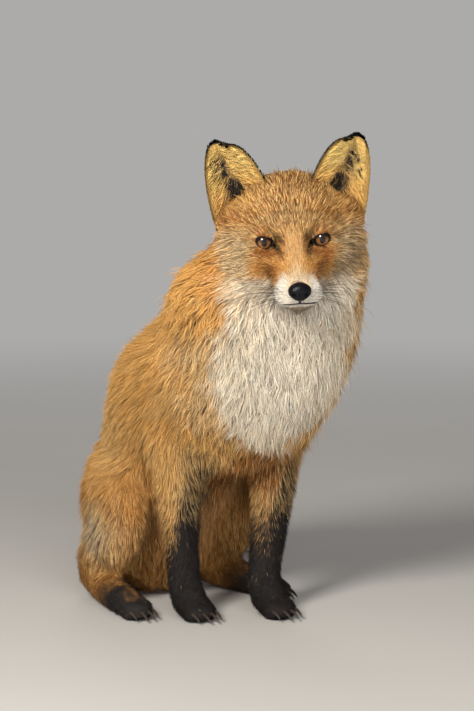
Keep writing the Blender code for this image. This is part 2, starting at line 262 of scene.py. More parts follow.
def dress(thing: Object, finish: Material, slot: str, *nodes: str) -> None:
    """Gives a finished piece its material, its body and the solids it stands for.

    Args:
        thing: The piece.
        finish: Its material.
        slot: Not used.
        nodes: The solids it replaces.
    """
    thing.data.materials.clear()
    thing.data.materials.append(finish)
    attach(thing, "root")
    if nodes:
        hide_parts(*nodes)
    LOG.info("%s: %d faces", thing.name, len(thing.data.polygons))


# --- Frames ---


class Anatomy:
    """Turns places between the model, the body's frame and the head's frame."""

    def __init__(self) -> None:
        """Finds both frames from the solids of the eyes."""
        eyes = [np.array(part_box(name)).mean(axis=0) / MM for name in ("eye_left", "eye_right")]
        self.turn = np.array(Euler(HEAD_EULER, "XYZ").to_matrix())
        middle = (eyes[0] + eyes[1]) / 2
        self.head_at = middle - self.turn @ np.array((0.0, EYE_SETBACK, 0.0))
        self.body_at = self.head_at - np.array(EYES_ABOVE)

    def to_head(self, points: Rows) -> Rows:
        """Model metres to the head's millimetres."""
        return (points / MM - self.head_at) @ self.turn

    def from_head(self, points: Rows) -> Rows:
        """The head's millimetres to model metres."""
        return (np.asarray(points, float) @ self.turn.T + self.head_at) * MM

    def to_body(self, points: Rows) -> Rows:
        """Model metres to the body's millimetres."""
        return points / MM - self.body_at

    def from_body(self, points: Rows) -> Rows:
        """The body's millimetres to model metres."""
        return (np.asarray(points, float) + self.body_at) * MM

    def heading(self, directions: Rows) -> Rows:
        """Directions in the head's frame, in the model's."""
        return np.asarray(directions, float) @ self.turn.T


# --- The lie of the coat ---


class Region(Enum):
    """Which piece of the coat a patch belongs to."""

    FACE = "face"
    CROWN = "crown"
    NECK = "neck"
    CHEST = "chest"
    BACK = "back"
    HAUNCH = "haunch"
    FORELEGS = "forelegs"
    HINDFEET = "hindfeet"
    TAIL = "tail"

    @property
    def number(self) -> int:
        """Its place in the list of regions."""
        return list(Region).index(self)


@dataclass(frozen=True)
class Patch:
    """How the hair grows round one place. Neighbouring patches blend into each other.

    at: its middle; reach: how far it is felt; lie: which way the hair points; length: of the hair;
    depth: from the skin to the tips; stand: how far the highest tips rise, as a share of that;
    width: of a tuft at its root; thick: tufts to the square centimetre.
    """

    at: tuple
    reach: float
    lie: tuple
    length: float
    depth: float
    stand: float
    width: float
    thick: float
    region: Region


def both_sides(patches: list[Patch]) -> list[Patch]:
    """Adds the mirror image of every patch that lies off the middle.

    Args:
        patches: Those of the middle and of the left side.

    Returns:
        All of them, with the right side's.
    """
    made = list(patches)
    for patch in patches:
        x, y, z = patch.at
        if abs(x) > 3:
            out, back, up = patch.lie
            made.append(replace(patch, at=(-x, y, z), lie=(-out, back, up)))
    return made


def head_patches() -> list[Patch]:
    """The coat of the head, in the head's frame."""
    face, crown, neck = Region.FACE, Region.CROWN, Region.NECK
    return both_sides([
        Patch((0, -66, -24), 10, (0, 1, 0.3), 4, 1.3, 0.9, 0.55, 340, face),
        Patch((0, -44, -14), 13, (0, 1, 0.45), 5.5, 1.8, 0.9, 0.6, 320, face),
        Patch((0, -18, 4), 13, (0, 0.9, 0.8), 7, 2.4, 1.0, 0.7, 280, face),
        Patch((0, 2, 24), 12, (0, 0.55, 1), 9, 3.5, 1.05, 0.75, 250, face),
        Patch((0, 16, 46), 14, (0, 0.7, 0.8), 13, 5.0, 1.1, 0.8, 146, crown),
        Patch((0, 42, 64), 18, (0, 1, 0.15), 16, 7.0, 1.15, 0.95, 105, crown),
        Patch((0, 78, 50), 20, (0, 0.9, -0.5), 22, 9.0, 1.25, 1.1, 84, crown),
        Patch((13, -2, 12), 8, (0.3, 0.4, 1), 7, 2.4, 0.95, 0.65, 300, face),
        Patch((28, 2, 15), 9, (0.7, 0.35, 0.9), 8, 2.6, 1.0, 0.65, 290, face),
        Patch((24, 16, 36), 13, (0.45, 0.5, 0.9), 13, 5.0, 1.1, 0.8, 154, crown),
        Patch((46, 10, 2), 10, (0.75, 0.9, 0.1), 10, 3.6, 1.05, 0.75, 240, face),
        Patch((48, 30, 24), 15, (0.6, 0.7, 0.55), 14, 5.5, 1.15, 0.85, 132, crown),
        Patch((70, 50, 14), 13, (0.45, 0.1, 1), 22, 6.0, 1.2, 0.85, 125, crown),
        Patch((45, 46, 42), 12, (0.5, 0.15, 1), 18, 5.0, 1.3, 0.85, 125, crown),
        Patch((19, -62, -37), 9, (0.7, 0.9, -0.15), 5, 1.8, 0.9, 0.55, 340, face),
        Patch((9, -72, -44), 7, (0.6, 0.7, -0.5), 3.6, 1.2, 0.9, 0.5, 360, face),
        Patch((0, -62, -57), 8, (0, 0.8, -0.5), 5, 1.8, 1.0, 0.6, 300, face),
        Patch((20, -36, -44), 13, (0.5, 1, -0.3), 9, 3.4, 1.05, 0.7, 260, face),
        Patch((20, -28, -14), 11, (0.6, 0.9, 0.0), 6.5, 2.2, 0.95, 0.6, 300, face),
        Patch((31, -10, -13), 11, (0.8, 0.8, -0.25), 7, 2.4, 0.95, 0.65, 290, face),
        Patch((44, 8, -20), 13, (0.8, 0.75, -0.4), 14, 5.5, 1.1, 0.8, 210, face),
        Patch((30, -6, -38), 13, (0.7, 0.8, -0.5), 13, 5.0, 1.05, 0.8, 220, face),
        Patch((66, 34, -10), 17, (0.75, 0.6, -0.55), 22, 9.0, 1.0, 1.0, 98, crown),
        Patch((66, 44, -40), 19, (0.65, 0.4, -0.9), 26, 11.0, 0.85, 1.1, 49, neck),
        Patch((38, 16, -58), 18, (0.45, 0.5, -0.9), 26, 10.0, 1.25, 1.1, 51, neck),
        Patch((0, -8, -62), 18, (0, 0.5, -1), 22, 8.0, 1.15, 1.05, 52, neck),
        Patch((52, 84, 10), 24, (0.35, 0.8, -0.6), 26, 14.0, 0.8, 1.05, 42, neck),
        Patch((0, -34, -66), 14, (0, 0.4, -1), 14, 8.0, 0.55, 1.0, 55, neck),
    ])


def body_patches() -> list[Patch]:
    """The coat of the body, in the body's frame."""
    neck, chest, back = Region.NECK, Region.CHEST, Region.BACK
    haunch, fore, hind = Region.HAUNCH, Region.FORELEGS, Region.HINDFEET
    made = both_sides([
        Patch((0, -46, 372), 34, (0, 0.75, -0.65), 32, 13, 1.35, 1.1, 33, neck),
        Patch((84, -96, 348), 30, (0.1, 0.45, -0.9), 28, 13, 1.25, 1.1, 34, neck),
        Patch((88, -70, 300), 32, (0.05, 0.5, -0.9), 27, 12, 1.15, 1.1, 33, neck),
        Patch((16, -188, 344), 26, (0, 0.05, -1), 29, 13, 1.25, 1.05, 49, chest),
        Patch((22, -170, 300), 28, (0, 0.0, -1), 31, 14, 1.25, 1.1, 49, chest),
        Patch((22, -158, 258), 28, (0, 0.15, -1), 31, 14, 1.25, 1.1, 49, chest),
        Patch((26, -126, 204), 26, (0, 0.35, -1), 30, 13, 1.25, 1.1, 47, chest),
        Patch((78, -132, 290), 28, (0.2, 0.25, -0.95), 29, 13, 1.3, 1.1, 47, chest),
        Patch((80, -96, 232), 26, (0.1, 0.3, -0.95), 30, 11, 1.15, 1.05, 45, chest),
        Patch((92, -38, 250), 30, (0.0, 0.6, -0.85), 26, 9, 1.1, 0.95, 70, back),
        Patch((14, 16, 322), 34, (0, 0.82, -0.6), 28, 10, 1.15, 0.99, 67, back),
        Patch((10, 78, 276), 34, (0, 0.65, -0.8), 26, 9, 1.1, 0.99, 64, back),
        Patch((8, 136, 200), 34, (0, 0.4, -0.95), 26, 9, 1.1, 0.99, 64, back),
        Patch((8, 178, 110), 34, (0, 0.1, -1), 28, 10, 1.15, 0.99, 64, back),
        Patch((84, 26, 238), 32, (0.0, 0.7, -0.8), 24, 8, 1.05, 0.95, 67, back),
        Patch((76, 84, 196), 30, (0.05, 0.55, -0.9), 23, 8, 1.05, 0.95, 67, back),
        Patch((0, 20, 132), 34, (0, 0.2, -1), 22, 8, 1.1, 0.99, 46, back),
        Patch((104, 84, 140), 32, (0.05, 0.35, -1), 22, 7, 1.05, 0.95, 70, haunch),
        Patch((94, 138, 104), 30, (0.0, 0.3, -1), 24, 8, 1.1, 0.95, 66, haunch),
        Patch((102, 46, 116), 24, (0.0, 0.1, -1), 16, 5, 1.0, 0.99, 81, haunch),
        Patch((102, 84, 66), 24, (0.0, 0.15, -1), 15, 4.5, 1.0, 0.95, 81, haunch),
        Patch((60, 50, 100), 26, (0.0, 0.0, -1), 16, 5, 1.0, 0.95, 46, haunch),
        Patch((84, 118, 22), 20, (0.0, -0.9, -0.3), 10, 3, 0.95, 0.95, 33, hind),
        Patch((92, 50, 24), 18, (0.0, -1, -0.2), 8, 2.6, 0.9, 0.85, 39, hind),
        Patch((92, 0, 20), 18, (0.0, -1, -0.4), 6, 2.0, 0.9, 0.75, 48, hind),
    ])
    for side, ahead in ((-1, 0), (1, 36)):
        for height, out, length, depth, thick in (
            (196, 54, 20, 6, 36), (160, 50, 15, 5, 40), (120, 46, 11, 4, 46),
            (80, 43, 8.5, 3, 54), (50, 42, 7, 2.5, 60),
        ):
            centre = (side * out, -18 - ahead, height)
            made.append(Patch(centre, 22, (0, -0.02, -1), length, depth, 1.6, 0.95, thick, fore))
        made.append(Patch((side * 41, -44 - ahead, 24), 17, (0, -1, -0.45), 6, 2, 0.9, 0.75, 68, fore))
    for x, y, z, out, along in (
        (16, 196, 66, 0.35, 0.9), (34, 224, 54, 0.5, 0.85), (62, 260, 50, 0.75, 0.65),
        (100, 288, 50, 0.95, 0.3), (146, 296, 48, 1.0, -0.1), (190, 286, 40, 0.88, -0.5),
        (220, 262, 26, 0.68, -0.75), (240, 236, 12, 0.6, -0.8),
    ):
        length = 38 if x < 150 else 30 if x < 230 else 20
        made.append(Patch((x, y, z), 30, (out, along, -0.05), length, 15, 1.15, 1.4, 12, Region.TAIL))
    return made


class Growth:
    """The lie, length and depth of the coat anywhere, blended from the patches."""

    def __init__(self, anatomy: Anatomy) -> None:
        """Places all patches in the model.

        Args:
            anatomy: The frames that the patches are given in.
        """
        heads, bodies = head_patches(), body_patches()
        at = [anatomy.from_head(patch.at) / MM for patch in heads]
        at += [anatomy.from_body(patch.at) / MM for patch in bodies]
        lies = [anatomy.heading(patch.lie) for patch in heads] + [patch.lie for patch in bodies]
        self.patches = heads + bodies
        self.at = np.array(at)
        self.lies = unit(np.array(lies, float))
        self.reach = np.array([patch.reach for patch in self.patches])
        self.numbers = np.array([(p.length, p.depth, p.stand, p.width, p.thick) for p in self.patches])
        self.region = np.array([patch.region.number for patch in self.patches])

    def weights(self, points: Rows) -> Rows:
        """How strongly each patch is felt at each point.

        Args:
            points: Places in model metres.

        Returns:
            One row per point, which sums to one.
        """
        felt = np.empty((len(points), len(self.at)), np.float32)
        at_once = 20000  # points, to keep the memory that they take small
        for start in range(0, len(points), at_once):
            part = points[start : start + at_once] / MM
            far = np.linalg.norm(part[:, None, :] - self.at[None], axis=2) / self.reach
            near = far.min(axis=1, keepdims=True)
            felt[start : start + at_once] = np.exp(-0.9 * (far * far - near * near))
        return felt / felt.sum(axis=1, keepdims=True)

    def read(self, points: Rows, normals: Rows) -> dict[str, Rows]:
        """Everything about the hair at each point.

        Args:
            points: Places in model metres.
            normals: The skin's normals there.

        Returns:
            Arrays by name: lie (along the skin), length, depth, stand, width, thick and region.
        """
        felt = self.weights(points)
        lie = felt @ self.lies
        lie -= normals * np.sum(lie * normals, axis=1, keepdims=True)
        length, depth, stand, width, thick = (felt @ self.numbers).T
        regions = np.zeros((len(points), len(Region)), np.float32)
        for number in range(len(Region)):
            regions[:, number] = felt[:, self.region == number].sum(axis=1)
        return {
            "lie": unit(lie), "length": length, "depth": depth, "stand": stand,
            "width": width, "thick": thick, "region": regions.argmax(axis=1),
        }


# --- Markings, with painted light and shade ---


class Tone(Enum):
    """The colours of a red fox's coat, in linear light."""

    RUST = (0.36, 0.118, 0.022)
    ORANGE = (0.56, 0.245, 0.055)
    GOLD = (0.66, 0.375, 0.115)
    SAND = (0.66, 0.42, 0.20)
    STRAW = (0.80, 0.53, 0.22)
    BUFF = (0.56, 0.41, 0.24)
    CREAM = (0.76, 0.655, 0.50)
    WHITE = (0.82, 0.755, 0.66)
    SMOKE = (0.16, 0.125, 0.10)
    UMBER = (0.085, 0.045, 0.022)
    BLACK = (0.014, 0.012, 0.012)

    @property
    def rgb(self) -> Rows:
        """The colour as an array."""
        return np.array(self.value)


@dataclass
class Hue:
    """What the markings say at each point: the tuft's colour, its root's, darker partly as the underfur's
    own colour and partly as painted shade between tufts, and how it is grizzled.
    """

    main: Rows
    root: Rows
    pale: Rows | float
    dark: Rows | float

    def into(self, other: Hue, share: Rows) -> Hue:
        """Passes over into other markings, row by row; a share of 0 stays here.

        Args:
            other: The markings at the same places.
            share: How far to pass over.

        Returns:
            The markings between the two.
        """
        main, root = mixed(self.main, other.main, share), mixed(self.root, other.root, share)
        pale = self.pale + (other.pale - self.pale) * share
        return Hue(main, root, pale, self.dark + (other.dark - self.dark) * share)


@dataclass
class Markings:
    """Where each colour of the coat lies, with painted light and shade among them. Skin and tufts both read
    it.
    """

    anatomy: Anatomy

    def read(self, points: Rows) -> Hue:
        """The markings at some places.

        Args:
            points: Places in model metres.

        Returns:
            Colours and shares of grizzle, row by row.
        """
        body, head = self.anatomy.to_body(points), self.anatomy.to_head(points)
        wander = ripple(body, 34, 3) * 5 + ripple(body, 13, 4) * 2.5
        colour = self.trunk(body, wander)
        colour = self.bib(body, colour, wander)
        colour = self.limbs(body, colour, wander)
        colour = self.tail(body, colour, wander)
        on_head = ramp(head[:, 2] + 0.55 * (-head[:, 1]), -78, -44) * ramp(head[:, 1], 96, 70)
        return colour.into(self.face(head, wander), on_head)

    def trunk(self, body: Rows, wander: Rows) -> Hue:
        """Rust along the back and orange on the flanks, with gold higher up that is partly the coat's own
        colour and partly painted light, a painted sunlit patch high on the right flank, painted shade low
        towards the rear and between the forelegs, and paler and greyer at the rump.

        Args:
            body: Places in the body's frame.
            wander: Noise in millimetres, for edges that aren't ruled.

        Returns:
            The markings there.
        """
        spine = ramp(np.abs(body[:, 0] - 8) + wander, 52, 14) * ramp(body[:, 2], 60, 150)
        main = mixed(Tone.ORANGE.rgb, Tone.RUST.rgb, 0.2 * spine)
        # Gold higher up: partly the coat's own colour, partly painted light on the upper body.
        high = ramp(body[:, 2], 110, 220)
        main = mixed(main, Tone.GOLD.rgb, 0.6 * high)
        # A painted sunlit patch high on the fox's right flank, towards the haunch.
        main = mixed(main, Tone.STRAW.rgb, 0.5 * blob(body, (-76, 82, 185), (40, 46, 56)))
        # Painted shade: darker low down towards the rear, on the haunch.
        main = main * (1 - 0.26 * ramp(body[:, 2], 165, 105) * ramp(body[:, 1], 0, 50))[:, None]
        mirrored = np.column_stack([np.abs(body[:, 0] - 4), body[:, 1], body[:, 2]])
        rump = blob(mirrored, (92, 80, 84), (34, 42, 34)) + blob(mirrored, (50, 180, 56), (50, 40, 40))
        greyer = Tone.BUFF.rgb * np.array((0.86, 0.90, 0.98))
        main = mixed(main, greyer, 0.85 * np.clip(rump * 1.5 - 0.2, 0, 1))
        under = ramp(body[:, 2], 170, 110) * blob(body, (0, 20, 110), (46, 70, 90))
        main = mixed(main, Tone.CREAM.rgb, 0.12 * under)
        # Painted shade in dark rust low on the front of the trunk, between the forelegs.
        painted_shade_between_forelegs = ramp(body[:, 2], 206, 186) * ramp(np.abs(body[:, 0] - 18), 56, 38) * ramp(body[:, 1], 30, -10)
        main = mixed(main, Tone.RUST.rgb * 0.6, 0.85 * painted_shade_between_forelegs)
        # Roots darker than the tips: partly the underfur's own colour, partly painted shade in the gaps
        # between tufts.
        root = main * 0.31 + np.array((0.014, 0.011, 0.009))
        pale = 0.16 + 0.30 * np.clip(rump, 0, 1)
        dark = 0.10 + 0.12 * spine + 0.30 * np.clip(rump, 0, 1)
        return Hue(main, root, pale, dark)

    def bib(self, body: Rows, hue: Hue, wander: Rows) -> Hue:
        """The white of throat and chest, which narrows to a point between the forelegs.

        Args:
            body: Places in the body's frame.
            hue: The markings so far.
            wander: Noise in millimetres.

        Returns:
            The markings there.
        """
        x, y, height = body.T
        levels = (178, 194, 207, 220, 238, 265, 290, 320, 348, 376, 400)
        right_x = np.interp(height, levels, (30, 18, -6, -28, -50, -57, -60, -62, -66, -66, -62))
        right_y = np.interp(height, levels, (-72, -75, -76, -81, -91, -104, -110, -136, -144, -124, -118))
        left_x = np.interp(height, levels, (30, 22, 24, 38, 53, 58, 60, 57, 62, 54, 50))
        left_y = np.interp(height, levels, (-72, -78, -100, -106, -124, -141, -148, -165, -167, -178, -178))
        right = (x - right_x) - 0.6 * (y - right_y)
        left = 0.89 * (left_x - x) - 0.45 * (y - left_y)
        behind = np.interp(height, (200, 240, 330, 370, 400), (-40, -78, -95, -120, -138)) - y
        within = np.minimum(np.minimum(right, left), behind) + wander * 1.5
        inside = ramp(within, -10, 8) * ramp(height, 186, 200)
        beside = ramp(within, -80, -14) * ramp(height, 190, 226)
        beside *= np.maximum(ramp(height, 335, 305), ramp(x, 10, 30))
        patchy = beside * (0.8 + 0.35 * ripple(body, 26, 37))
        main = mixed(hue.main, Tone.SAND.rgb, 0.85 * patchy)
        main = mixed(main, Tone.CREAM.rgb, inside)
        clean = ramp(within, 8, 50) * inside * (0.5 + 0.4 * ramp(height, 330, 370))
        main = mixed(main, Tone.WHITE.rgb, clean)
        root = mixed(hue.root, np.array((0.27, 0.21, 0.14)), inside)
        pale = hue.pale * (1 - inside) + 0.42 * patchy * (1 - inside)
        ticks = 0.04 + 0.45 * ramp(ripple(body, 7, 31), 0.6, 1.3)
        dark = hue.dark * (1 - inside) + ticks * inside + 0.26 * beside * (1 - inside)
        return Hue(main, root, pale, dark)

    def limbs(self, body: Rows, hue: Hue, wander: Rows) -> Hue:
        """Black stockings that reach highest up the front of the forelegs, and dark hind feet. On each
        foreleg they lean towards the fox's left, and on the left leg they reach higher: both are painted
        shade.

        Args:
            body: Places in the body's frame.
            hue: The markings so far.
            wander: Noise in millimetres.

        Returns:
            The markings there.
        """
        x, y, z = body.T
        axis = np.where(x > 0, -54.0, -18.0)
        near = ramp(y - axis, 46, 34) * ramp(np.abs(x), 90, 76) * ramp(z, 214, 190)
        near *= 1 - ramp(np.abs(x - 16), 38, 24) * ramp(z, 128, 150)
        # The front of each leg, turned towards the fox's left; the turn is painted shade on the side away
        # from the light.
        front = ramp(0.83 * (np.abs(x) - 50) * np.sign(x) - 0.56 * (y - axis), -6, 12)
        front *= ramp(np.abs(x), 72, 62)
        level = z + wander * 1.6 + 12 * ripple(body, 3.2, 21) + 22 * ripple(body, 1.3, 22)
        # The left leg's stocking reaches higher, as painted shade.
        painted_shade_left_leg = np.where(x > 0, 1.0, 0.0)
        top, full = 120 + 18 * painted_shade_left_leg + 80 * front, 70 + 18 * painted_shade_left_leg + 68 * front
        stocking = np.clip((top - level) / (top - full), 0, 1) * near
        stocking = stocking * stocking * (3 - 2 * stocking)
        grey = ramp(level, 200, 165) * near * (0.2 + 0.8 * front)
        main = mixed(hue.main, Tone.GOLD.rgb, 0.6 * near)
        main = mixed(main, Tone.BUFF.rgb, 0.6 * grey)
        main = mixed(main, Tone.BLACK.rgb, stocking)
        root = mixed(hue.root, Tone.BLACK.rgb * 1.2, np.maximum(stocking, 0.5 * grey))
        flecks = (0.3 + 0.7 * grey) * ramp(z, 92, 124)
        pale = hue.pale * (1 - near) + near * (0.10 + 0.38 * flecks)
        dark = hue.dark * (1 - near) + near * (0.10 + 0.35 * grey)
        foot = ramp(np.abs(x), 58, 66) * ramp(y, 100, 30) * ramp(z + wander, 46, 26) * ramp(y, -60, -40)
        main = mixed(main, Tone.BLACK.rgb * 1.6, foot)
        root = mixed(root, Tone.BLACK.rgb, foot)
        pale = pale * (1 - 0.9 * foot) * (1 - 0.95 * stocking * ramp(z, 130, 85))
        return Hue(main, root, pale, dark)

    def tail(self, body: Rows, hue: Hue, wander: Rows) -> Hue:
        """A brush of orange with dark tips, paler below, that ends in white.

        Args:
            body: Places in the body's frame.
            hue: The markings so far.
            wander: Noise in millimetres.

        Returns:
            The markings there.
        """
        x, y, z = body.T
        brush = ramp(y, 196, 222)
        main = mixed(hue.main, mixed(Tone.ORANGE.rgb, Tone.BUFF.rgb, ramp(z, 70, 20)), brush)
        end = ramp(x - 0.95 * (y - 262) + wander * 0.8, 222, 240) * brush
        main = mixed(main, Tone.WHITE.rgb, end)
        # Darker roots in the brush: partly the underfur's own colour, partly painted shade between tufts.
        root = mixed(hue.root, main * 0.35, brush)
        dark = hue.dark * (1 - brush) + brush * (0.34 * (1 - end))
        return Hue(main, root, hue.pale * (1 - brush) + 0.16 * brush, dark)

    def face(self, head: Rows, wander: Rows) -> Hue:
        """Orange forehead with grizzle, rust round the eyes, white muzzle, grey and cream cheeks, a chin
        darkened partly by painted shade, painted shadow under it and painted shade on the left cheek.

        Args:
            head: Places in the head's frame.
            wander: Noise in millimetres.

        Returns:
            The markings there.
        """
        x, y, z = head.T
        side = np.abs(x)
        small = wander * 0.35
        mirrored = np.column_stack([side, y, z])
        main, cheek = self.cheeks(head, self.brow(mirrored), small)
        rust = self.rust_marks(mirrored) * (1.05 + 0.5 * ripple(head, 5, 8))
        rust = np.clip(rust, 0, 1)
        main = mixed(main, Tone.RUST.rgb * np.array((0.62, 0.53, 0.60)), 0.9 * rust)
        bridge = blob(mirrored, (0, -30, -8), (11, 40, 26)) * ramp(side, 15, 7)
        main = mixed(main, Tone.SAND.rgb * np.array((0.92, 0.85, 0.78)), 0.8 * np.clip(bridge * 1.3, 0, 1))
        close = ramp(y + 0.9 * side, -34, -54) * ramp(z, -40, -28) * ramp(side, 17, 11)
        main = mixed(main, Tone.BUFF.rgb * 1.12, 0.8 * close)
        spot = blob(mirrored, (19.0, 0, 6), (3.0, 14, 5))
        main = mixed(main, Tone.STRAW.rgb, 0.9 * spot)
        edge = y + 52 + 2.4 * np.minimum(0, z + 33) + small + 12 * ramp(side, 15, 7) * ramp(z, -36, -28)
        white = ramp(edge, 11, -8) * ramp(y, 4, -14) * ramp(side, 44, 32)
        main = mixed(main, Tone.WHITE.rgb * 0.9, white)
        main = mixed(main, Tone.BUFF.rgb * 1.18, 0.85 * white * ramp(side, 15, 8) * ramp(z, -40, -31))
        stripe = self.stripe(mirrored) * np.where(x > 0, 1.0, 0.45)
        main = mixed(main, Tone.SMOKE.rgb, 0.8 * stripe)
        # The chin darkened to brown: partly its own colour, partly painted shade.
        chin = ramp(z, -49.5, -51) * ramp(y, -36, -48)
        main = mixed(main, Tone.BUFF.rgb * 0.42, 0.9 * chin)
        # Painted shadow under the chin, on the top of the throat.
        under = ramp(z, -54, -57.5) * ramp(y, 4, -20) * ramp(side, 30, 20) * ramp(z, -66, -60)
        main = mixed(main, Tone.SMOKE.rgb, 0.7 * under)
        black, maroon = self.eye_marks(mirrored)
        main = mixed(main, Tone.RUST.rgb * 0.32, maroon)
        main = mixed(main, Tone.BLACK.rgb, black)
        # Roots darker than the tips, except on white and the pale spot: partly the underfur's own colour,
        # partly painted shade in the gaps between tufts.
        root = main * (0.18 + 0.45 * white + 0.6 * spot)[:, None] + np.array((0.010, 0.007, 0.005))
        above = ramp(z, -4, 20)
        pale = 0.18 + 0.26 * above * ramp(side, 60, 20) + 0.36 * cheek
        pale *= 1 - 0.8 * np.clip(white + 0.6 * rust, 0, 1)
        dark = 0.18 + 0.38 * above * ramp(side, 70, 20)
        # Dark tips on the lower cheeks, a larger share on the fox's left, where the excess is painted shade.
        dark += cheek * ramp(z, -50, -20) * np.where(x > 0, 0.45, 0.26)
        dark *= 1 - 0.85 * np.clip(bridge + white, 0, 1)
        dark += 0.3 * stripe * (1 - white)
        return Hue(main, root, np.clip(pale, 0, 1), np.clip(dark, 0, 1))

    @staticmethod
    def brow(mirrored: Rows) -> Rows:
        """The colours of forehead and crown, with gold at the foot of each ear, darkened upwards from the
        brow and at the temples, partly as the fur's own colour and partly as painted shade.

        Args:
            mirrored: Places in the head's frame, all on one side.

        Returns:
            One colour for each.
        """
        side, _, z = mirrored.T
        gold = 0.3 * ramp(z, 10, 55) + 0.4 * blob(mirrored, (46, 40, 40), (18, 18, 16))
        main = mixed(Tone.ORANGE.rgb, Tone.GOLD.rgb, gold)
        foot = np.clip(1.5 * blob(mirrored, (54, 32, 36), (22, 24, 11)), 0, 1)
        main = mixed(main, Tone.GOLD.rgb, 0.8 * foot)
        # Darker upwards from the brow and at the temples: partly the fur's own colour, partly painted shade
        # on the top of the head.
        shade = (ramp(z, 0, 22) * (1 - 0.2 * ramp(z, 45, 65)))[:, None] * np.array((0.43, 0.50, 0.55))
        shade = shade * (1 - 0.8 * foot)[:, None]
        return main * (1 - shade - 0.12 * (ramp(z, 4, 20) * ramp(side, 34, 52))[:, None])

    @staticmethod
    def cheeks(head: Rows, main: Rows, small: Rows) -> tuple[Rows, Rows]:
        """Greys the cheeks, and turns them cream below.

        Args:
            head: Places in the head's frame.
            main: Their colours so far.
            small: Noise in millimetres.

        Returns:
            Their new colours, and how much of a cheek each one is.
        """
        x, y, z = head.T
        side = np.abs(x)
        cheek = ramp(side + 0.5 * (y - 6) + small * 2, 32, 48) * ramp(z, 20, -4)
        cheek = cheek * ramp(side, 76, 66) * ramp(y, 66, 46)
        main = mixed(main, 0.5 * (Tone.SAND.rgb + Tone.BUFF.rgb), 0.85 * cheek)
        out = side - np.where(x > 0, 70, np.interp(z, (-62, -40), (56, 70)))
        low = ramp(z + 0.22 * side + small * 2, -22, -36) * ramp(y, -30, -6)
        low = low * ramp(out, 5, -5) * ramp(y, 46, 28)
        return mixed(main, Tone.CREAM.rgb, 0.85 * low), cheek

    @staticmethod
    def rust_marks(mirrored: Rows) -> Rows:
        """The streaks before, below, behind and above the eye.

        Args:
            mirrored: Places in the head's frame, all on one side.

        Returns:
            How strong the rust is at each.
        """
        marks = (
            (1.0, (27, -8, -11), (11, 12, 5)), (1.0, (21, -26, -25), (6, 18, 9)),
            (0.6, (31, -8, -20), (8, 14, 6)), (0.6, (40, 2, -11), (9, 9, 4)),
            (0.7, (45, 6, 3), (9, 12, 3.0)), (0.7, (31, 6, 10), (12, 12, 2.6)),
        )
        return sum(strength * blob(mirrored, at, reach) for strength, at, reach in marks)

    @staticmethod
    def stripe(mirrored: Rows) -> Rows:
        """The dark line that runs from the whiskers back over the cheek.

        Args:
            mirrored: Places in the head's frame, all on one side.

        Returns:
            How strong the line is at each.
        """
        start, end = np.array((25.0, -14.0, -44.0)), np.array((66.0, 26.0, -32.0))
        way = end - start
        share = np.clip((mirrored - start) @ way / (way @ way), 0, 1)
        away = np.linalg.norm(mirrored - start - share[:, None] * way, axis=1)
        return np.exp(-((away / 4.6) ** 2)) * ramp(share, 1.1, 0.6)

    @staticmethod
    def eye_marks(mirrored: Rows) -> tuple[Rows, Rows]:
        """The lids' black rims and inner corners, and the maroon streaks beside them.

        Args:
            mirrored: Places in the head's frame, all on one side.

        Returns:
            The shares of black and of maroon.
        """
        dx, dz = mirrored[:, 0] - EYE_ASIDE, mirrored[:, 2]
        near = ramp(mirrored[:, 1], 22, 10)
        rim = ramp(almond_distance(dx, dz), np.where(dz > 0, 2.2, 1.2), 0.6) * near
        along = (dx + 10.6) * 0.72 + (dz + 3.8) * 0.69
        across = -(dx + 10.6) * 0.69 + (dz + 3.8) * 0.72
        wedge = np.exp(-((along / 6.0) ** 4) - (across / (4.6 + 0.15 * along)) ** 4) * near
        end = np.exp(-(((dx + 15.4) / 3.8) ** 2) - ((dz + 9.0) / 3.8) ** 2) * near
        above = np.exp(-(((dx + 18.6 - 0.1 * dz) / 3.3) ** 2) - ((dz - 4.5) / 6.5) ** 2) * near
        return np.clip(rim + 1.25 * wedge, 0, 1), np.clip(1.1 * end + 1.2 * above, 0, 1)


# --- Finishes ---


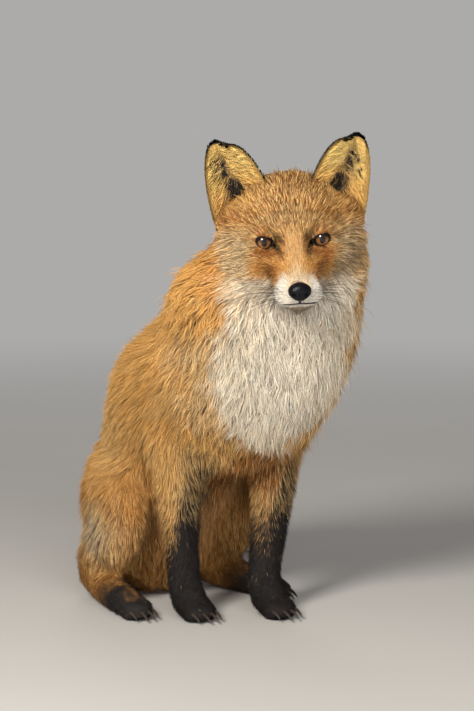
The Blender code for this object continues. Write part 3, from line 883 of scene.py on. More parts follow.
class Sheet:
    """A material's node tree, with short ways to add nodes and to join them."""

    def __init__(self, name: str, **settings: float) -> None:
        """Starts a material and sets its shader's own sockets.

        Args:
            name: The material's name.
            settings: Values of the shader's sockets, with _ for a space in their names.
        """
        self.material = bpy.data.materials.new(name)
        self.material.use_nodes = True
        self.tree = self.material.node_tree
        self.shader = self.tree.nodes["Principled BSDF"]
        for key, value in settings.items():
            self.shader.inputs[key.replace("_", " ")].default_value = value

    def add(self, kind: str, **settings: object) -> Node:
        """Adds a node and sets its own properties.

        Args:
            kind: Its type's name, without the ShaderNode in front.
            settings: Its properties by name.

        Returns:
            The node.
        """
        node = self.tree.nodes.new("ShaderNode" + kind)
        for key, value in settings.items():
            setattr(node, key, value)
        return node

    def join(self, source: object, target: NodeSocket) -> None:
        """Links a socket to another, or sets that one to a value.

        Args:
            source: A socket, a number or a colour.
            target: The socket that it goes into.
        """
        if isinstance(source, NodeSocket):
            self.tree.links.new(source, target)
        else:
            target.default_value = source

    def maths(self, operation: str, *values: object) -> NodeSocket:
        """A Math node of sockets or numbers.

        Args:
            operation: The name of the sum.
            values: What goes in, each a socket or a number.

        Returns:
            Its result.
        """
        node = self.add("Math", operation=operation)
        for place, value in zip(node.inputs, values):
            self.join(value, place)
        return node.outputs[0]

    def ramped(self, value: NodeSocket, stops: list[tuple]) -> NodeSocket:
        """A colour ramp.

        Args:
            value: What is read along it.
            stops: Places and colours, in order.

        Returns:
            The colour.
        """
        node = self.add("ValToRGB")
        self.join(value, node.inputs[0])
        elements = node.color_ramp.elements
        while len(elements) < len(stops):
            elements.new(0.5)
        for element, (place, colour) in zip(elements, stops):
            element.position = place
            element.color = (*colour, 1.0)
        return node.outputs[0]

    def noise(self, scale: float, detail: float = 3.0,
              vector: NodeSocket | None = None) -> NodeSocket:
        """Noise on object coordinates, or on another vector.

        Args:
            scale: How fine it is.
            detail: How many finer layers it has.
            vector: Where to read it.

        Returns:
            The noise, from 0 to 1.
        """
        node = self.add("TexNoise")
        node.inputs["Scale"].default_value = scale
        node.inputs["Detail"].default_value = detail
        self.join(vector or self.add("TexCoord").outputs["Object"], node.inputs["Vector"])
        return node.outputs["Fac"]

    def blend(self, kind: str, share: object, first: object, second: object) -> NodeSocket:
        """Mixes two colours.

        Args:
            kind: The blend mode.
            share: A socket or number, how much of the second is used.
            first: The colour below.
            second: The colour above.

        Returns:
            The mixed colour.
        """
        node = self.add("Mix", data_type="RGBA", blend_type=kind)
        for place, value in ((0, share), (6, first), (7, second)):
            self.join(value, node.inputs[place])
        return node.outputs[2]

    def bump(self, height: NodeSocket, strength: float, distance: float) -> None:
        """Roughens the surface.

        Args:
            height: Where it rises.
            strength: The share of the bump that is used.
            distance: The height of the bump in metres.
        """
        node = self.add("Bump")
        node.inputs["Strength"].default_value = strength
        node.inputs["Distance"].default_value = distance
        self.join(height, node.inputs["Height"])
        self.join(node.outputs[0], self.shader.inputs["Normal"])

    def colour(self, socket: NodeSocket) -> Material:
        """Sets the base colour and returns the finished material."""
        self.join(socket, self.shader.inputs["Base Color"])
        return self.material


@dataclass(frozen=True)
class CoatFinish:
    """Hair: the tuft's own colour, streaked a little."""

    name: str = "fox_hair"
    roughness: float = 0.6

    def make(self) -> Material:
        """Builds the material."""
        sheet = Sheet(self.name, Roughness=self.roughness, Specular_IOR_Level=0.18)
        pelt = sheet.add("Attribute", attribute_name="pelt").outputs["Color"]
        fine = sheet.noise(420.0, 2.0)
        streak = sheet.ramped(fine, [(0.3, (0.82, 0.82, 0.82)), (0.7, (1.0, 1.0, 1.0))])
        colour = sheet.blend("MULTIPLY", 1.0, pelt, streak)
        return sheet.colour(colour)


@dataclass(frozen=True)
class SkinFinish:
    """Hide and underfur between the tufts: the same markings, darker, partly as the underfur's own colour
    and partly as painted shade, with a fine nap.
    """

    name: str = "fox_skin"

    def make(self) -> Material:
        """Builds the material."""
        sheet = Sheet(self.name, Roughness=0.85, Specular_IOR_Level=0.2)
        pelt = sheet.add("Attribute", attribute_name="pelt").outputs["Color"]
        nap = sheet.noise(900.0, 4.0)
        shade = sheet.ramped(nap, [(0.25, (0.55, 0.55, 0.55)), (0.75, (1.0, 1.0, 1.0))])
        sheet.bump(nap, 0.6, 0.0008)
        return sheet.colour(sheet.blend("MULTIPLY", 1.0, pelt, shade))


@dataclass(frozen=True)
class EyeFinish:
    """An amber iris with a dark slit and rim, under a wet clear surface, with the upper lid's shadow painted
    over its top.
    """

    name: str
    centre: tuple
    iris_radius: float

    def make(self) -> Material:
        """Builds the material."""
        sheet = Sheet(self.name, Roughness=0.4, Coat_Weight=1.0, Coat_Roughness=0.03, Specular_IOR_Level=0.1)
        place = sheet.add("Mapping", vector_type="TEXTURE")
        place.inputs["Location"].default_value = self.centre
        place.inputs["Rotation"].default_value = HEAD_EULER
        sheet.join(sheet.add("TexCoord").outputs["Object"], place.inputs["Vector"])
        split = sheet.add("SeparateXYZ")
        sheet.join(place.outputs[0], split.inputs[0])
        per_metre = 1.0 / (self.iris_radius * MM)
        x = sheet.maths("MULTIPLY", split.outputs[0], per_metre)
        z = sheet.maths("MULTIPLY", split.outputs[2], per_metre)
        squares = sheet.maths("ADD", sheet.maths("MULTIPLY", x, x), sheet.maths("MULTIPLY", z, z))
        far = sheet.maths("SQRT", squares)
        angle = sheet.maths("ARCTAN2", z, x)
        spokes = sheet.add("CombineXYZ")
        sheet.join(sheet.maths("MULTIPLY", angle, 5.0), spokes.inputs[0])
        sheet.join(sheet.maths("MULTIPLY", far, 1.2), spokes.inputs[1])
        fibre = sheet.noise(3.0, 4.0, spokes.outputs[0])
        iris = sheet.ramped(far, [
            (0.0, (0.04, 0.016, 0.006)), (0.34, (0.10, 0.044, 0.016)), (0.58, (0.22, 0.105, 0.042)),
            (0.74, (0.16, 0.070, 0.026)), (0.85, (0.03, 0.012, 0.006)), (1.0, (0.005, 0.004, 0.004)),
        ])
        # Painted shadow of the upper lid: the iris darkens towards its top.
        shaded = sheet.maths("MULTIPLY_ADD", z, 0.5, 0.5)
        painted_lid_shadow = sheet.ramped(shaded, [(0.48, (1.0, 1.0, 1.0)), (0.70, (0.10, 0.085, 0.08))])
        iris = sheet.blend("MULTIPLY", 1.0, iris, painted_lid_shadow)
        streaks = sheet.ramped(fibre, [(0.3, (0.5, 0.45, 0.4)), (0.7, (1.25, 1.2, 1.1))])
        colour = sheet.blend("MULTIPLY", 0.85, iris, streaks)
        narrow = sheet.maths("POWER", sheet.maths("MULTIPLY", x, 2.5), 2.0)
        tall = sheet.maths("POWER", sheet.maths("MULTIPLY", z, 1.7), 2.0)
        slit = sheet.maths("SQRT", sheet.maths("ADD", narrow, tall))
        hole = sheet.ramped(slit, [(0.68, (1.0, 1.0, 1.0)), (1.0, (0.0, 0.0, 0.0))])
        return sheet.colour(sheet.blend("MIX", hole, colour, (0.006, 0.005, 0.005, 1.0)))


@dataclass(frozen=True)
class LeatherFinish:
    """Bare moist skin, as on the nose, the lids and the lips: black with fine pebbles.

    pebbles: how many to the metre; height: theirs in metres; shine: the specular level.
    """

    name: str
    tint: tuple
    pebbles: float
    roughness: float
    height: float
    shine: float = 0.2

    def make(self) -> Material:
        """Builds the material."""
        sheet = Sheet(self.name, Roughness=self.roughness, Specular_IOR_Level=self.shine)
        cells = sheet.add("TexVoronoi", feature="F1")
        cells.inputs["Scale"].default_value = self.pebbles
        sheet.join(sheet.add("TexCoord").outputs["Object"], cells.inputs["Vector"])
        cloudy = sheet.noise(260.0)
        lighter = tuple(1.8 * part + 0.002 for part in self.tint)
        colour = sheet.ramped(cloudy, [(0.35, self.tint), (0.75, lighter)])
        sheet.bump(cells.outputs["Distance"], 0.5, self.height)
        return sheet.colour(colour)


@dataclass(frozen=True)
class HornFinish:
    """Claws: dark horn with streaks that run along it and a low gloss."""

    name: str = "claw_horn"

    def make(self) -> Material:
        """Builds the material."""
        sheet = Sheet(self.name, Roughness=0.32, Specular_IOR_Level=0.5)
        stretch = sheet.add("Mapping")
        stretch.inputs["Scale"].default_value = (1.0, 0.12, 1.0)
        sheet.join(sheet.add("TexCoord").outputs["Object"], stretch.inputs["Vector"])
        grain = sheet.noise(1400.0, 3.0, stretch.outputs[0])
        sheet.bump(grain, 0.25, 0.0003)
        horn = sheet.ramped(grain, [(0.3, (0.016, 0.012, 0.010)), (0.75, (0.060, 0.046, 0.036))])
        return sheet.colour(horn)


# --- The skin ---


@dataclass
class Skin:
    """The one hide of the fox, sunk below the solids by the depth of the coat.

    voxel: the grain of the fused mesh; polish: rounds of smoothing; sunk_share: the most of the body's
    thickness that the skin may sink by.
    """

    anatomy: Anatomy
    growth: Growth
    markings: Markings
    voxel: float = 2.9
    polish: int = 6
    sunk_share: float = 0.33
    thing: Object | None = None
    points: Rows = field(default_factory=lambda: np.zeros((0, 3)))
    faces: Rows = field(default_factory=lambda: np.zeros((0, 3), int))
    normals: Rows = field(default_factory=lambda: np.zeros((0, 3)))
    sunk: Rows = field(default_factory=lambda: np.zeros(0))

    def build(self, frame: dict) -> None:
        """Fuses, sinks and shapes the skin.
        """
        self.fuse(frame)
        self.refine()
        self.sink()
        for shape in (self.shape_lids, self.shape_chin, self.clear_nose):
            head = self.anatomy.to_head(corners_of(self.thing.data))
            shape(head)
            put_corners(self.thing.data, self.anatomy.from_head(head))
        self.read_back()
        hue = self.markings.read(self.points)
        grown = self.growth.read(self.points, self.normals)
        # The skin takes the roots' darker colour under long hair: partly the underfur's own colour, partly
        # painted shade between the tufts.
        paint_points(self.thing.data, mixed(hue.root, hue.main, 0.25 + 0.6 * ramp(grown["length"], 15, 5)))
        dress(self.thing, SkinFinish().make(), "coat", *FLESH)

    def fuse(self, frame: dict) -> None:
        """Makes one closed mesh from copies of the flesh, with the seats of eyes and nose filled.
        """
        copies = []
        for name in (*FLESH, "eye_left", "eye_right", "nose"):
            copy = frame["nodes"][name].copy()
            copy.data = copy.data.copy()
            copy.parent = None
            for key in list(copy.keys()):
                del copy[key]
            bpy.context.scene.collection.objects.link(copy)
            copies.append(copy)
        thing = as_one(copies, "fox_skin")
        bpy.ops.object.mode_set(mode="EDIT")
        bpy.ops.mesh.select_all(action="SELECT")
        bpy.ops.mesh.remove_doubles(threshold=0.00002)
        bpy.ops.object.mode_set(mode="OBJECT")
        fuse = thing.modifiers.new("fuse", "REMESH")
        fuse.mode = "VOXEL"
        fuse.voxel_size = self.voxel * MM
        bpy.ops.object.modifier_apply(modifier=fuse.name)
        soften(thing, self.polish)
        bpy.ops.object.shade_smooth()
        self.thing = thing

    def refine(self) -> None:
        """Divides the skin again round the eyes and over the muzzle, where its shape is finest."""
        mesh = self.thing.data
        head = self.anatomy.to_head(corners_of(mesh))
        side = np.abs(head[:, 0])
        eyes = (np.hypot(side - EYE_ASIDE, head[:, 2]) < 21) & (head[:, 1] < 28)
        muzzle = (head[:, 1] < -38) & (head[:, 2] > -66)
        pick(self.thing)
        bpy.ops.object.mode_set(mode="EDIT")
        bpy.ops.mesh.select_mode(type="VERT")
        bpy.ops.mesh.select_all(action="DESELECT")
        bpy.ops.object.mode_set(mode="OBJECT")
        mesh.vertices.foreach_set("select", eyes | muzzle)
        bpy.ops.object.mode_set(mode="EDIT")
        bpy.ops.mesh.subdivide(number_cuts=1, smoothness=0.6)
        bpy.ops.mesh.select_all(action="SELECT")
        bpy.ops.mesh.quads_convert_to_tris()
        bpy.ops.object.mode_set(mode="OBJECT")
        bpy.ops.object.shade_smooth()

    @staticmethod
    def shape_chin(head: Rows) -> None:
        """Rounds the front of the lower jaw, which shows below the closed lips."""
        away = ((head[:, 0] / 18) ** 2 + ((head[:, 1] + 61) / 13) ** 2) ** 2
        under = ramp(head[:, 2], -45.5, -49.5) * (head[:, 2] > -75)
        head[:, 2] -= 2.8 * np.exp(-away) * under

    @staticmethod
    def clear_nose(head: Rows) -> None:
        """Draws the skin back behind the nose's leather, out of the way of the nostrils."""
        away = np.hypot(head[:, 0] / 10.5, (head[:, 2] + 33) / 8.2)
        near = head[:, 1] < -66
        head[:, 1] += np.where(near, 8.0 * ramp(away, 1.0, 0.75), 0.0)

    def sink(self) -> None:
        """Moves the skin inwards by the depth of the coat, less where the body is thin."""
        mesh = self.thing.data
        points, normals = corners_of(mesh), normals_of(mesh)
        grown = self.growth.read(points, normals)
        depth = grown["depth"] * MM
        tree = BVHTree.FromObject(self.thing, bpy.context.evaluated_depsgraph_get())
        shallow, search, solid = 1.5 * MM, 90 * MM, 200 * MM
        thickness = np.full(len(points), solid)
        for number in np.nonzero(depth >= shallow)[0]:
            inward = Vector(-normals[number])
            hit = tree.ray_cast(Vector(points[number]) + inward * (0.5 * MM), inward, search)
            if hit[0] is not None:
                thickness[number] = hit[3]
        depth = np.minimum(depth, self.sunk_share * thickness)
        self.sunk = depth / MM
        points -= normals * depth[:, None]
        points[:, 2] = np.maximum(points[:, 2], SKIN_GAP * MM)
        put_corners(mesh, points)
        soften(self.thing, 3)

    @staticmethod
    def shape_lids(head: Rows) -> None:
        """Lays the skin over the eyeballs as lids and opens it between them.

        Args:
            head: The skin's places in the head's frame, which are moved.
        """
        for side in (-1, 1):
            dx, dz = side * head[:, 0] - EYE_ASIDE, head[:, 2]
            outside = almond_distance(dx, dz)
            near = (np.abs(dx) < 24) & (np.abs(dz) < 20) & (head[:, 1] < 24)
            radius = np.hypot(dx, dz)
            lid = LID_BALL_SETBACK - np.sqrt(np.maximum(LID_BALL**2 - radius**2, 4.0)) - 0.3
            blend = np.where(near, ramp(outside, 11.0, 2.0), 0.0)
            y = head[:, 1] + (lid - head[:, 1]) * blend
            head[:, 1] = np.where(near & (outside < -0.6), EYE_SETBACK + 3.0, y)

    def read_back(self) -> None:
        """Keeps the finished skin's triangles, points and normals for the coat to grow from."""
        mesh = self.thing.data
        mesh.calc_loop_triangles()
        faces = np.empty(len(mesh.loop_triangles) * 3, np.int32)
        mesh.loop_triangles.foreach_get("vertices", faces)
        self.faces = faces.reshape(-1, 3)
        self.points, self.normals = corners_of(mesh), normals_of(mesh)

    def tree(self) -> BVHTree:
        """The finished skin, ready to be searched for its nearest place."""
        return BVHTree.FromPolygons([Vector(point) for point in self.points], self.faces.tolist())


def almond_distance(dx: Rows, dz: Rows) -> Rows:
    """Roughly how far a place is outside the opening of the lids.

    Args:
        dx: Millimetres from the eye's centre towards the outside of the head.
        dz: Millimetres above it.

    Returns:
        Millimetres, below zero inside the opening.
    """
    tilted = dz - LID_TILT * dx
    long = np.where(dx > 0, LID_OUTER, LID_INNER)
    tall = np.where(tilted > 0, LID_ABOVE, LID_BELOW)
    return (np.hypot(dx / long, tilted / tall) - 1.0) * 7.0


# --- The coat ---


@dataclass
class Roots:
    """Where tufts leave the skin, and how each one is to grow."""

    points: Rows
    normals: Rows
    lie: Rows
    length: Rows
    height: Rows | float
    width: Rows | float
    uv: Rows
    hue: Hue

    def __len__(self) -> int:
        """How many tufts there are."""
        return len(self.points)


@dataclass
class Tufts:
    """Grows closed, tapered locks from roots, as one mesh.

    seed: for its chance; bends: rings above the root; clump: how far tips draw to their lock's leader,
    over reach_most at most; clump_size: tufts to a lock; wave and waver: the length and strength of the
    lie's ripples; loose: the share of stray tufts; spread: of brightness; ragged: how uneven the lengths
    are; soft: how far the shading follows the skin.
    """

    seed: int
    bends: int
    clump: float
    clump_size: int
    wave: float
    waver: float
    loose: float = 0.07
    reach_most: float = 9.0
    spread: float = 0.18
    ragged: float = 0.4
    soft: float = 0.4

    def grow(self, name: str, roots: Roots, over: BVHTree | None) -> Mesh:
        """Builds the mesh of the tufts, with its colours and its bake map.

        Args:
            name: The mesh's name.
            roots: Where they grow.
            over: The skin that the tips keep their height above, if they are to follow one.

        Returns:
            The mesh.
        """
        chance = np.random.default_rng(self.seed)
        count = len(roots)
        start = roots.points / MM
        leaders, lock = self.locks(start, chance)
        swing = chance.normal(size=len(leaders))[lock]
        rise = chance.uniform(-1, 1, len(leaders))[lock]
        stray = chance.uniform(size=count) < self.loose
        length = roots.length * (1.12 - self.ragged * chance.uniform(size=count)) * (1 + 0.25 * stray)
        side = np.cross(roots.normals, roots.lie)
        stir = ripple(start, self.wave, self.seed) + 0.6 * chance.normal(size=count) + 0.8 * swing
        sway = self.waver * stir
        lie = unit(roots.lie + side * sway[:, None])
        side = unit(np.cross(roots.normals, lie))
        height = roots.height * (1.2 - 0.75 * chance.uniform(size=count) ** 1.2) * (1 + 0.3 * rise)
        height = np.minimum(height, 0.6 * length) * (1 + 0.3 * stray)
        run = np.sqrt(np.maximum(length**2 - height**2, (0.5 * length) ** 2))
        tips = start + lie * run[:, None] + roots.normals * height[:, None]
        if over is not None:
            tips = self.settle(tips, height, over)
        step = tips[leaders[lock]] - tips
        size = np.linalg.norm(step, axis=1, keepdims=True)
        pull = np.minimum(1.0, self.reach_most / np.maximum(size, 1e-6))
        tips = tips + step * pull * self.clump * (1 - stray[:, None])
        width = roots.width * (1 - 0.35 * stray)
        knee = start + lie * (0.4 * run)[:, None] + roots.normals * (0.9 * height)[:, None]
        stations = [number / (self.bends + 1) for number in range(self.bends + 2)]
        layers = [start * (1 - at) ** 2 + knee * (2 * at * (1 - at)) + tips * at**2 for at in stations]
        layers[0] = layers[0] - roots.normals * 0.6
        corners, facing, faces = self.wrap(layers, stations, side, width)
        corners[:, 2] = np.maximum(corners[:, 2], FLOOR_GAP + 0.4 * (np.arange(len(corners)) % 3))
        mesh = mesh_from(name, corners * MM, faces)
        per = len(corners) // count
        facing = unit(np.repeat(roots.normals, per, axis=0) * self.soft + facing * (1 - self.soft))
        mesh.normals_split_custom_set_from_vertices(facing)
        self.paint(mesh, roots, stations, swing, chance)
        self.map_for_bake(mesh, roots, stations)
        return mesh

    @staticmethod
    def settle(tips: Rows, height: Rows, over: BVHTree) -> Rows:
        """Brings each tip to its height above the skin below it, so that the coat follows the form.

        Args:
            tips: Where the tips are.
            height: How high each should stand.
            over: The skin.

        Returns:
            Where the tips go.
        """
        moved = tips.copy()
        for number, tip in enumerate(tips):
            place, normal, _, _ = over.find_nearest(Vector(tip * MM))
            above = (tip - np.array(place) / MM) @ np.array(normal)
            moved[number] += np.array(normal) * (height[number] - above)
        return moved

    def locks(self, starts: Rows, chance: Chance) -> tuple[Rows, Rows]:
        """Gathers the tufts into locks, each round one of them.

        Args:
            starts: Their roots.
            chance: Where the leaders are drawn from.

        Returns:
            The tufts that lead a lock, and the lock that each tuft joins.
        """
        count = len(starts)
        leaders = chance.choice(count, max(1, count // self.clump_size), replace=False)
        tree = KDTree(len(leaders))
        for place, leader in enumerate(leaders):
            tree.insert(Vector(starts[leader]), place)
        tree.balance()
        return leaders, np.fromiter((tree.find(Vector(start))[1] for start in starts), int, count)

    def wrap(self, layers: list[Rows], stations: list[float], side: Rows,
             width: Rows) -> tuple[Rows, Rows, Rows]:
        """Puts three-sided rings round each spine and closes them at the root and at the tip.

        Args:
            layers: Places along the spines, root first.
            stations: How far along each of them is, from 0 to 1.
            side: The way across each tuft.
            width: The width of each at its root.

        Returns:
            The corners, the way out from the spine at each, and the triangles.
        """
        count, rings = len(width), self.bends + 1
        per = rings * 3 + 1
        corners, facing = np.empty((count, per, 3)), np.empty((count, per, 3))
        for ring in range(rings):
            ahead = unit(layers[ring + 1] - layers[ring])
            up = unit(np.cross(ahead, side))
            across = unit(np.cross(up, ahead))
            half = width * (1.0 - 0.45 * stations[ring] ** 1.5) * 0.5
            for corner in range(3):
                angle = math.tau * corner / 3 + math.pi / 2
                offset = across * math.cos(angle) + up * (0.7 * math.sin(angle))
                corners[:, ring * 3 + corner] = layers[ring] + offset * half[:, None]
                facing[:, ring * 3 + corner] = unit(offset)
        corners[:, per - 1], facing[:, per - 1] = layers[-1], up
        pattern = [(2, 1, 0)]
        for ring in range(rings - 1):
            for corner in range(3):
                a, b = ring * 3 + corner, ring * 3 + (corner + 1) % 3
                pattern += [(a, b, b + 3), (a, b + 3, a + 3)]
        last = (rings - 1) * 3
        pattern += [(last + corner, last + (corner + 1) % 3, per - 1) for corner in range(3)]
        pattern = np.array(pattern)
        sample = corners[0][pattern[-1]]
        outward = np.cross(sample[1] - sample[0], sample[2] - sample[0])
        if outward @ (sample[:2].mean(axis=0) - corners[0, last : last + 3].mean(axis=0)) < 0:
            pattern = pattern[:, ::-1]
        faces = (np.arange(count)[:, None, None] * per + pattern[None]).reshape(-1, 3)
        return corners.reshape(-1, 3), facing.reshape(-1, 3), faces

    def paint(self, mesh: Mesh, roots: Roots, stations: list[float], swing: Rows,
              chance: Chance) -> None:
        """Colours each tuft from root to tip, with grizzled tips here and there.

        Args:
            mesh: The tufts.
            roots: Where they grow.
            stations: How far along each ring is, from 0 to 1.
            swing: How far each one's lock is brightened.
            chance: Where the grizzle is drawn from.
        """
        count = len(roots)
        hue = roots.hue
        luck = chance.uniform(size=count)
        tip = hue.main.copy()
        middle = hue.main.copy()
        dark = luck < hue.dark
        pale = (~dark) & (luck < hue.dark + hue.pale)
        tip[dark] = mixed(hue.main[dark], Tone.BLACK.rgb * 1.5, 0.86 if self.bends else 0.7)
        middle[dark] = mixed(hue.main[dark], Tone.UMBER.rgb, 0.35)
        light = mixed(Tone.STRAW.rgb, Tone.CREAM.rgb, ramp(hue.main[:, 2], 0.12, 0.3))
        bright = 0.5 + 0.35 * ramp(hue.main.sum(axis=1), 0.1, 0.5)
        tip[pale] = mixed(hue.main[pale], light[pale], bright[pale])
        middle[pale] = mixed(hue.main[pale], light[pale], 0.5 * bright[pale])
        tone = (1.0 + self.spread * chance.normal(size=count) + 0.05 * swing).clip(0.4, 1.6)[:, None]
        warm = 1.0 + 0.05 * chance.normal(size=(count, 1)) * np.array([[1.0, 0.0, -1.0]])
        rows = []
        start = 0.2 if self.bends else 0.35
        # Each tuft runs from its darker root colour to its tip: partly the hair's own colour, partly painted
        # shade at the roots.
        for station in stations:
            low = mixed(hue.root, middle, start + 1.6 * station)
            colour = mixed(low, tip, 2.0 * station - 1.0)
            rows += [colour * tone * warm] * (1 if station == 1.0 else 3)
        colours = np.stack(rows, axis=1).reshape(-1, 3)
        paint_points(mesh, np.clip(colours, 0.002, 1.0))

    @staticmethod
    def map_for_bake(mesh: Mesh, roots: Roots, stations: list[float]) -> None:
        """Gives each tuft a small patch of the bake map at its root's place.

        Args:
            mesh: The tufts.
            roots: Where they grow.
            stations: How far along each ring is, from 0 to 1.
        """
        spots = []
        for station in stations[:-1]:
            spots += [(0.0, station), (0.5, station), (1.0, station)]
        spots.append((0.5, 1.0))
        patch = (np.array(spots) - 0.5) * BAKE_PATCH
        uv = (roots.uv[:, None, :] + patch[None]).reshape(-1, 2)
        layer = mesh.uv_layers.new(name="OFBake")
        corners = np.empty(len(mesh.loops), np.int32)
        mesh.loops.foreach_get("vertex_index", corners)
        layer.data.foreach_set("uv", uv[corners].astype(np.float32).ravel())


@dataclass
class Coat:
    """All the hair that grows from the skin, in pieces by region.

    share: how much of the full number of tufts to grow; tris_at_most: in one piece.
    """

    skin: Skin
    growth: Growth
    markings: Markings
    material: Material
    share: float
    tris_at_most: int = 190000
    over: BVHTree | None = None

    def build(self) -> None:
        """Grows every region."""
        corners = self.skin.points[self.skin.faces]
        centres = corners.mean(axis=1)
        slants = np.cross(corners[:, 1] - corners[:, 0], corners[:, 2] - corners[:, 0])
        areas = np.linalg.norm(slants, axis=1) / 2 * 1e4
        grown = self.growth.read(centres, unit(slants))
        ground = self.skin.anatomy.to_body(centres)[:, 2] < 1.5
        bare = self.bare(centres)
        self.over = self.skin.tree()
        for region in Region:
            inside = (grown["region"] == region.number) & ~ground & ~bare
            self.grow_region(region, np.nonzero(inside)[0], areas, grown["thick"])

    def bare(self, centres: Rows) -> Rows:
        """Where no hair grows: in the openings of the lids and under the nose's leather."""
        head = self.skin.anatomy.to_head(centres)
        side = np.abs(head[:, 0]) - EYE_ASIDE
        eye = (almond_distance(side, head[:, 2]) < 0.3) & (head[:, 1] < 16)
        nose = np.hypot(head[:, 0] / 10.2, (head[:, 2] + 33.5) / 7.2) < 1.0
        return eye | (nose & (head[:, 1] < -66))

    def grow_region(self, region: Region, chosen: Rows, areas: Rows, thick: Rows) -> None:
        """Plants and grows one region, in as many pieces as its number of triangles asks for.

        Args:
            region: Which one.
            chosen: Its triangles of the skin.
            areas: The area of every triangle in square centimetres.
            thick: Tufts to the square centimetre on every triangle.
        """
        bends = int(region in (Region.CROWN, Region.NECK, Region.CHEST, Region.TAIL))
        tris = 6 * bends + 4
        total = int((areas[chosen] * thick[chosen]).sum() * self.share)
        pieces = max(1, math.ceil(total * tris / self.tris_at_most))
        order = self.skin.points[self.skin.faces[chosen]].mean(axis=1)[:, 0]
        bounds = np.quantile(order, np.linspace(0, 1, pieces + 1))
        for number in range(pieces):
            low, high = bounds[number], bounds[number + 1]
            inside = (order >= low) & ((order < high) | (number == pieces - 1))
            faces = chosen[inside]
            name = f"coat_{region.value}_{number + 1}" if pieces > 1 else f"coat_{region.value}"
            seed = 100 + 10 * region.number + number
            roots = self.plant(faces, areas[faces] * thick[faces] * self.share, seed)
            mesh = self.style(region, bends, seed).grow(name, roots, self.over)
            dress(object_from(mesh), self.material, "coat")

    @staticmethod
    def style(region: Region, bends: int, seed: int) -> Tufts:
        """How the tufts of a region hang together.

        Args:
            region: Which one.
            bends: Rings above each root.
            seed: For the chance in it.

        Returns:
            What grows them.
        """
        ways = {  # clump, clump_size, wave, waver, loose, reach_most and spread
            Region.FACE: (0.3, 6, 7.0, 0.16, 0.04, 4.0, 0.30),
            Region.CROWN: (0.4, 8, 8.0, 0.18, 0.08, 9.0, 0.28),
            Region.FORELEGS: (0.25, 9, 9.0, 0.10, 0.03, 9.0, 0.18),
            Region.CHEST: (0.45, 11, 22.0, 0.32, 0.07, 11.0, 0.2),
            Region.BACK: (0.4, 16, 15.0, 0.19, 0.07, 8.0, 0.26),
        }
        alike = {Region.HINDFEET: Region.FORELEGS, Region.NECK: Region.CHEST,
                 Region.HAUNCH: Region.BACK, Region.TAIL: Region.BACK}
        return Tufts(seed, bends, *ways[alike.get(region, region)])

    def plant(self, faces: Rows, counts: Rows, seed: int) -> Roots:
        """Chooses the roots on some faces of the skin.

        Args:
            faces: Which triangles of the skin.
            counts: How many tufts each one is due, as fractions.
            seed: For the chance in it.

        Returns:
            The roots with everything that they need.
        """
        chance = np.random.default_rng(seed)
        running = np.cumsum(counts)
        total = max(1, int(running[-1]))
        ticks = (np.arange(total) + chance.uniform(size=total)) * running[-1] / total
        where = np.minimum(np.searchsorted(running, ticks), len(faces) - 1)
        first, second = chance.uniform(size=(2, total))
        flip = first + second > 1
        first[flip], second[flip] = 1 - first[flip], 1 - second[flip]
        shares = np.column_stack([1 - first - second, first, second])
        corners = self.skin.faces[faces[where]]
        points = np.einsum("nk,nkd->nd", shares, self.skin.points[corners])
        normals = unit(np.einsum("nk,nkd->nd", shares, self.skin.normals[corners]))
        uv = np.einsum("nk,nkd->nd", shares, self.unwrap(faces)[where])
        grown = self.growth.read(points, normals)
        ahead = grown["lie"] * (0.5 * grown["length"] * MM)[:, None]
        hue = self.markings.read(points + ahead)
        hue.root = mixed(hue.root, hue.main, 0.4 * ramp(grown["length"], 15, 5))
        height = np.einsum("nk,nk->n", shares, self.skin.sunk[corners]) * grown["stand"]
        width = grown["width"] * (1 - 0.2 * ramp(grown["length"], 14, 24))
        return Roots(points, normals, grown["lie"], grown["length"], height, width, uv, hue)

    def unwrap(self, faces: Rows) -> Rows:
        """Unwraps these faces of the skin on their own.

        Args:
            faces: Which triangles of the skin.

        Returns:
            For each triangle, its three places on the map.
        """
        used, corners = np.unique(self.skin.faces[faces], return_inverse=True)
        mesh = mesh_from("unwrap", self.skin.points[used], corners.reshape(-1, 3))
        thing = object_from(mesh)
        pick(thing)
        mesh.uv_layers.new(name="map")
        bpy.ops.object.mode_set(mode="EDIT")
        bpy.ops.mesh.select_all(action="SELECT")
        bpy.ops.uv.smart_project(angle_limit=math.radians(70), island_margin=0.004, area_weight=0.0)
        bpy.ops.object.mode_set(mode="OBJECT")
        flat = np.empty(len(mesh.loops) * 2, np.float32)
        mesh.uv_layers[0].data.foreach_get("uv", flat)
        bpy.data.objects.remove(thing)
        bpy.data.meshes.remove(mesh)
        return flat.reshape(-1, 3, 2)


# --- Ears ---

EAR_LOW, EAR_HIGH = -0.24, 1.0  # where the cup starts and ends, on its way from the foot to the tip
EAR_GOLD = Tone.GOLD.rgb * np.array((0.92, 1.10, 1.12))


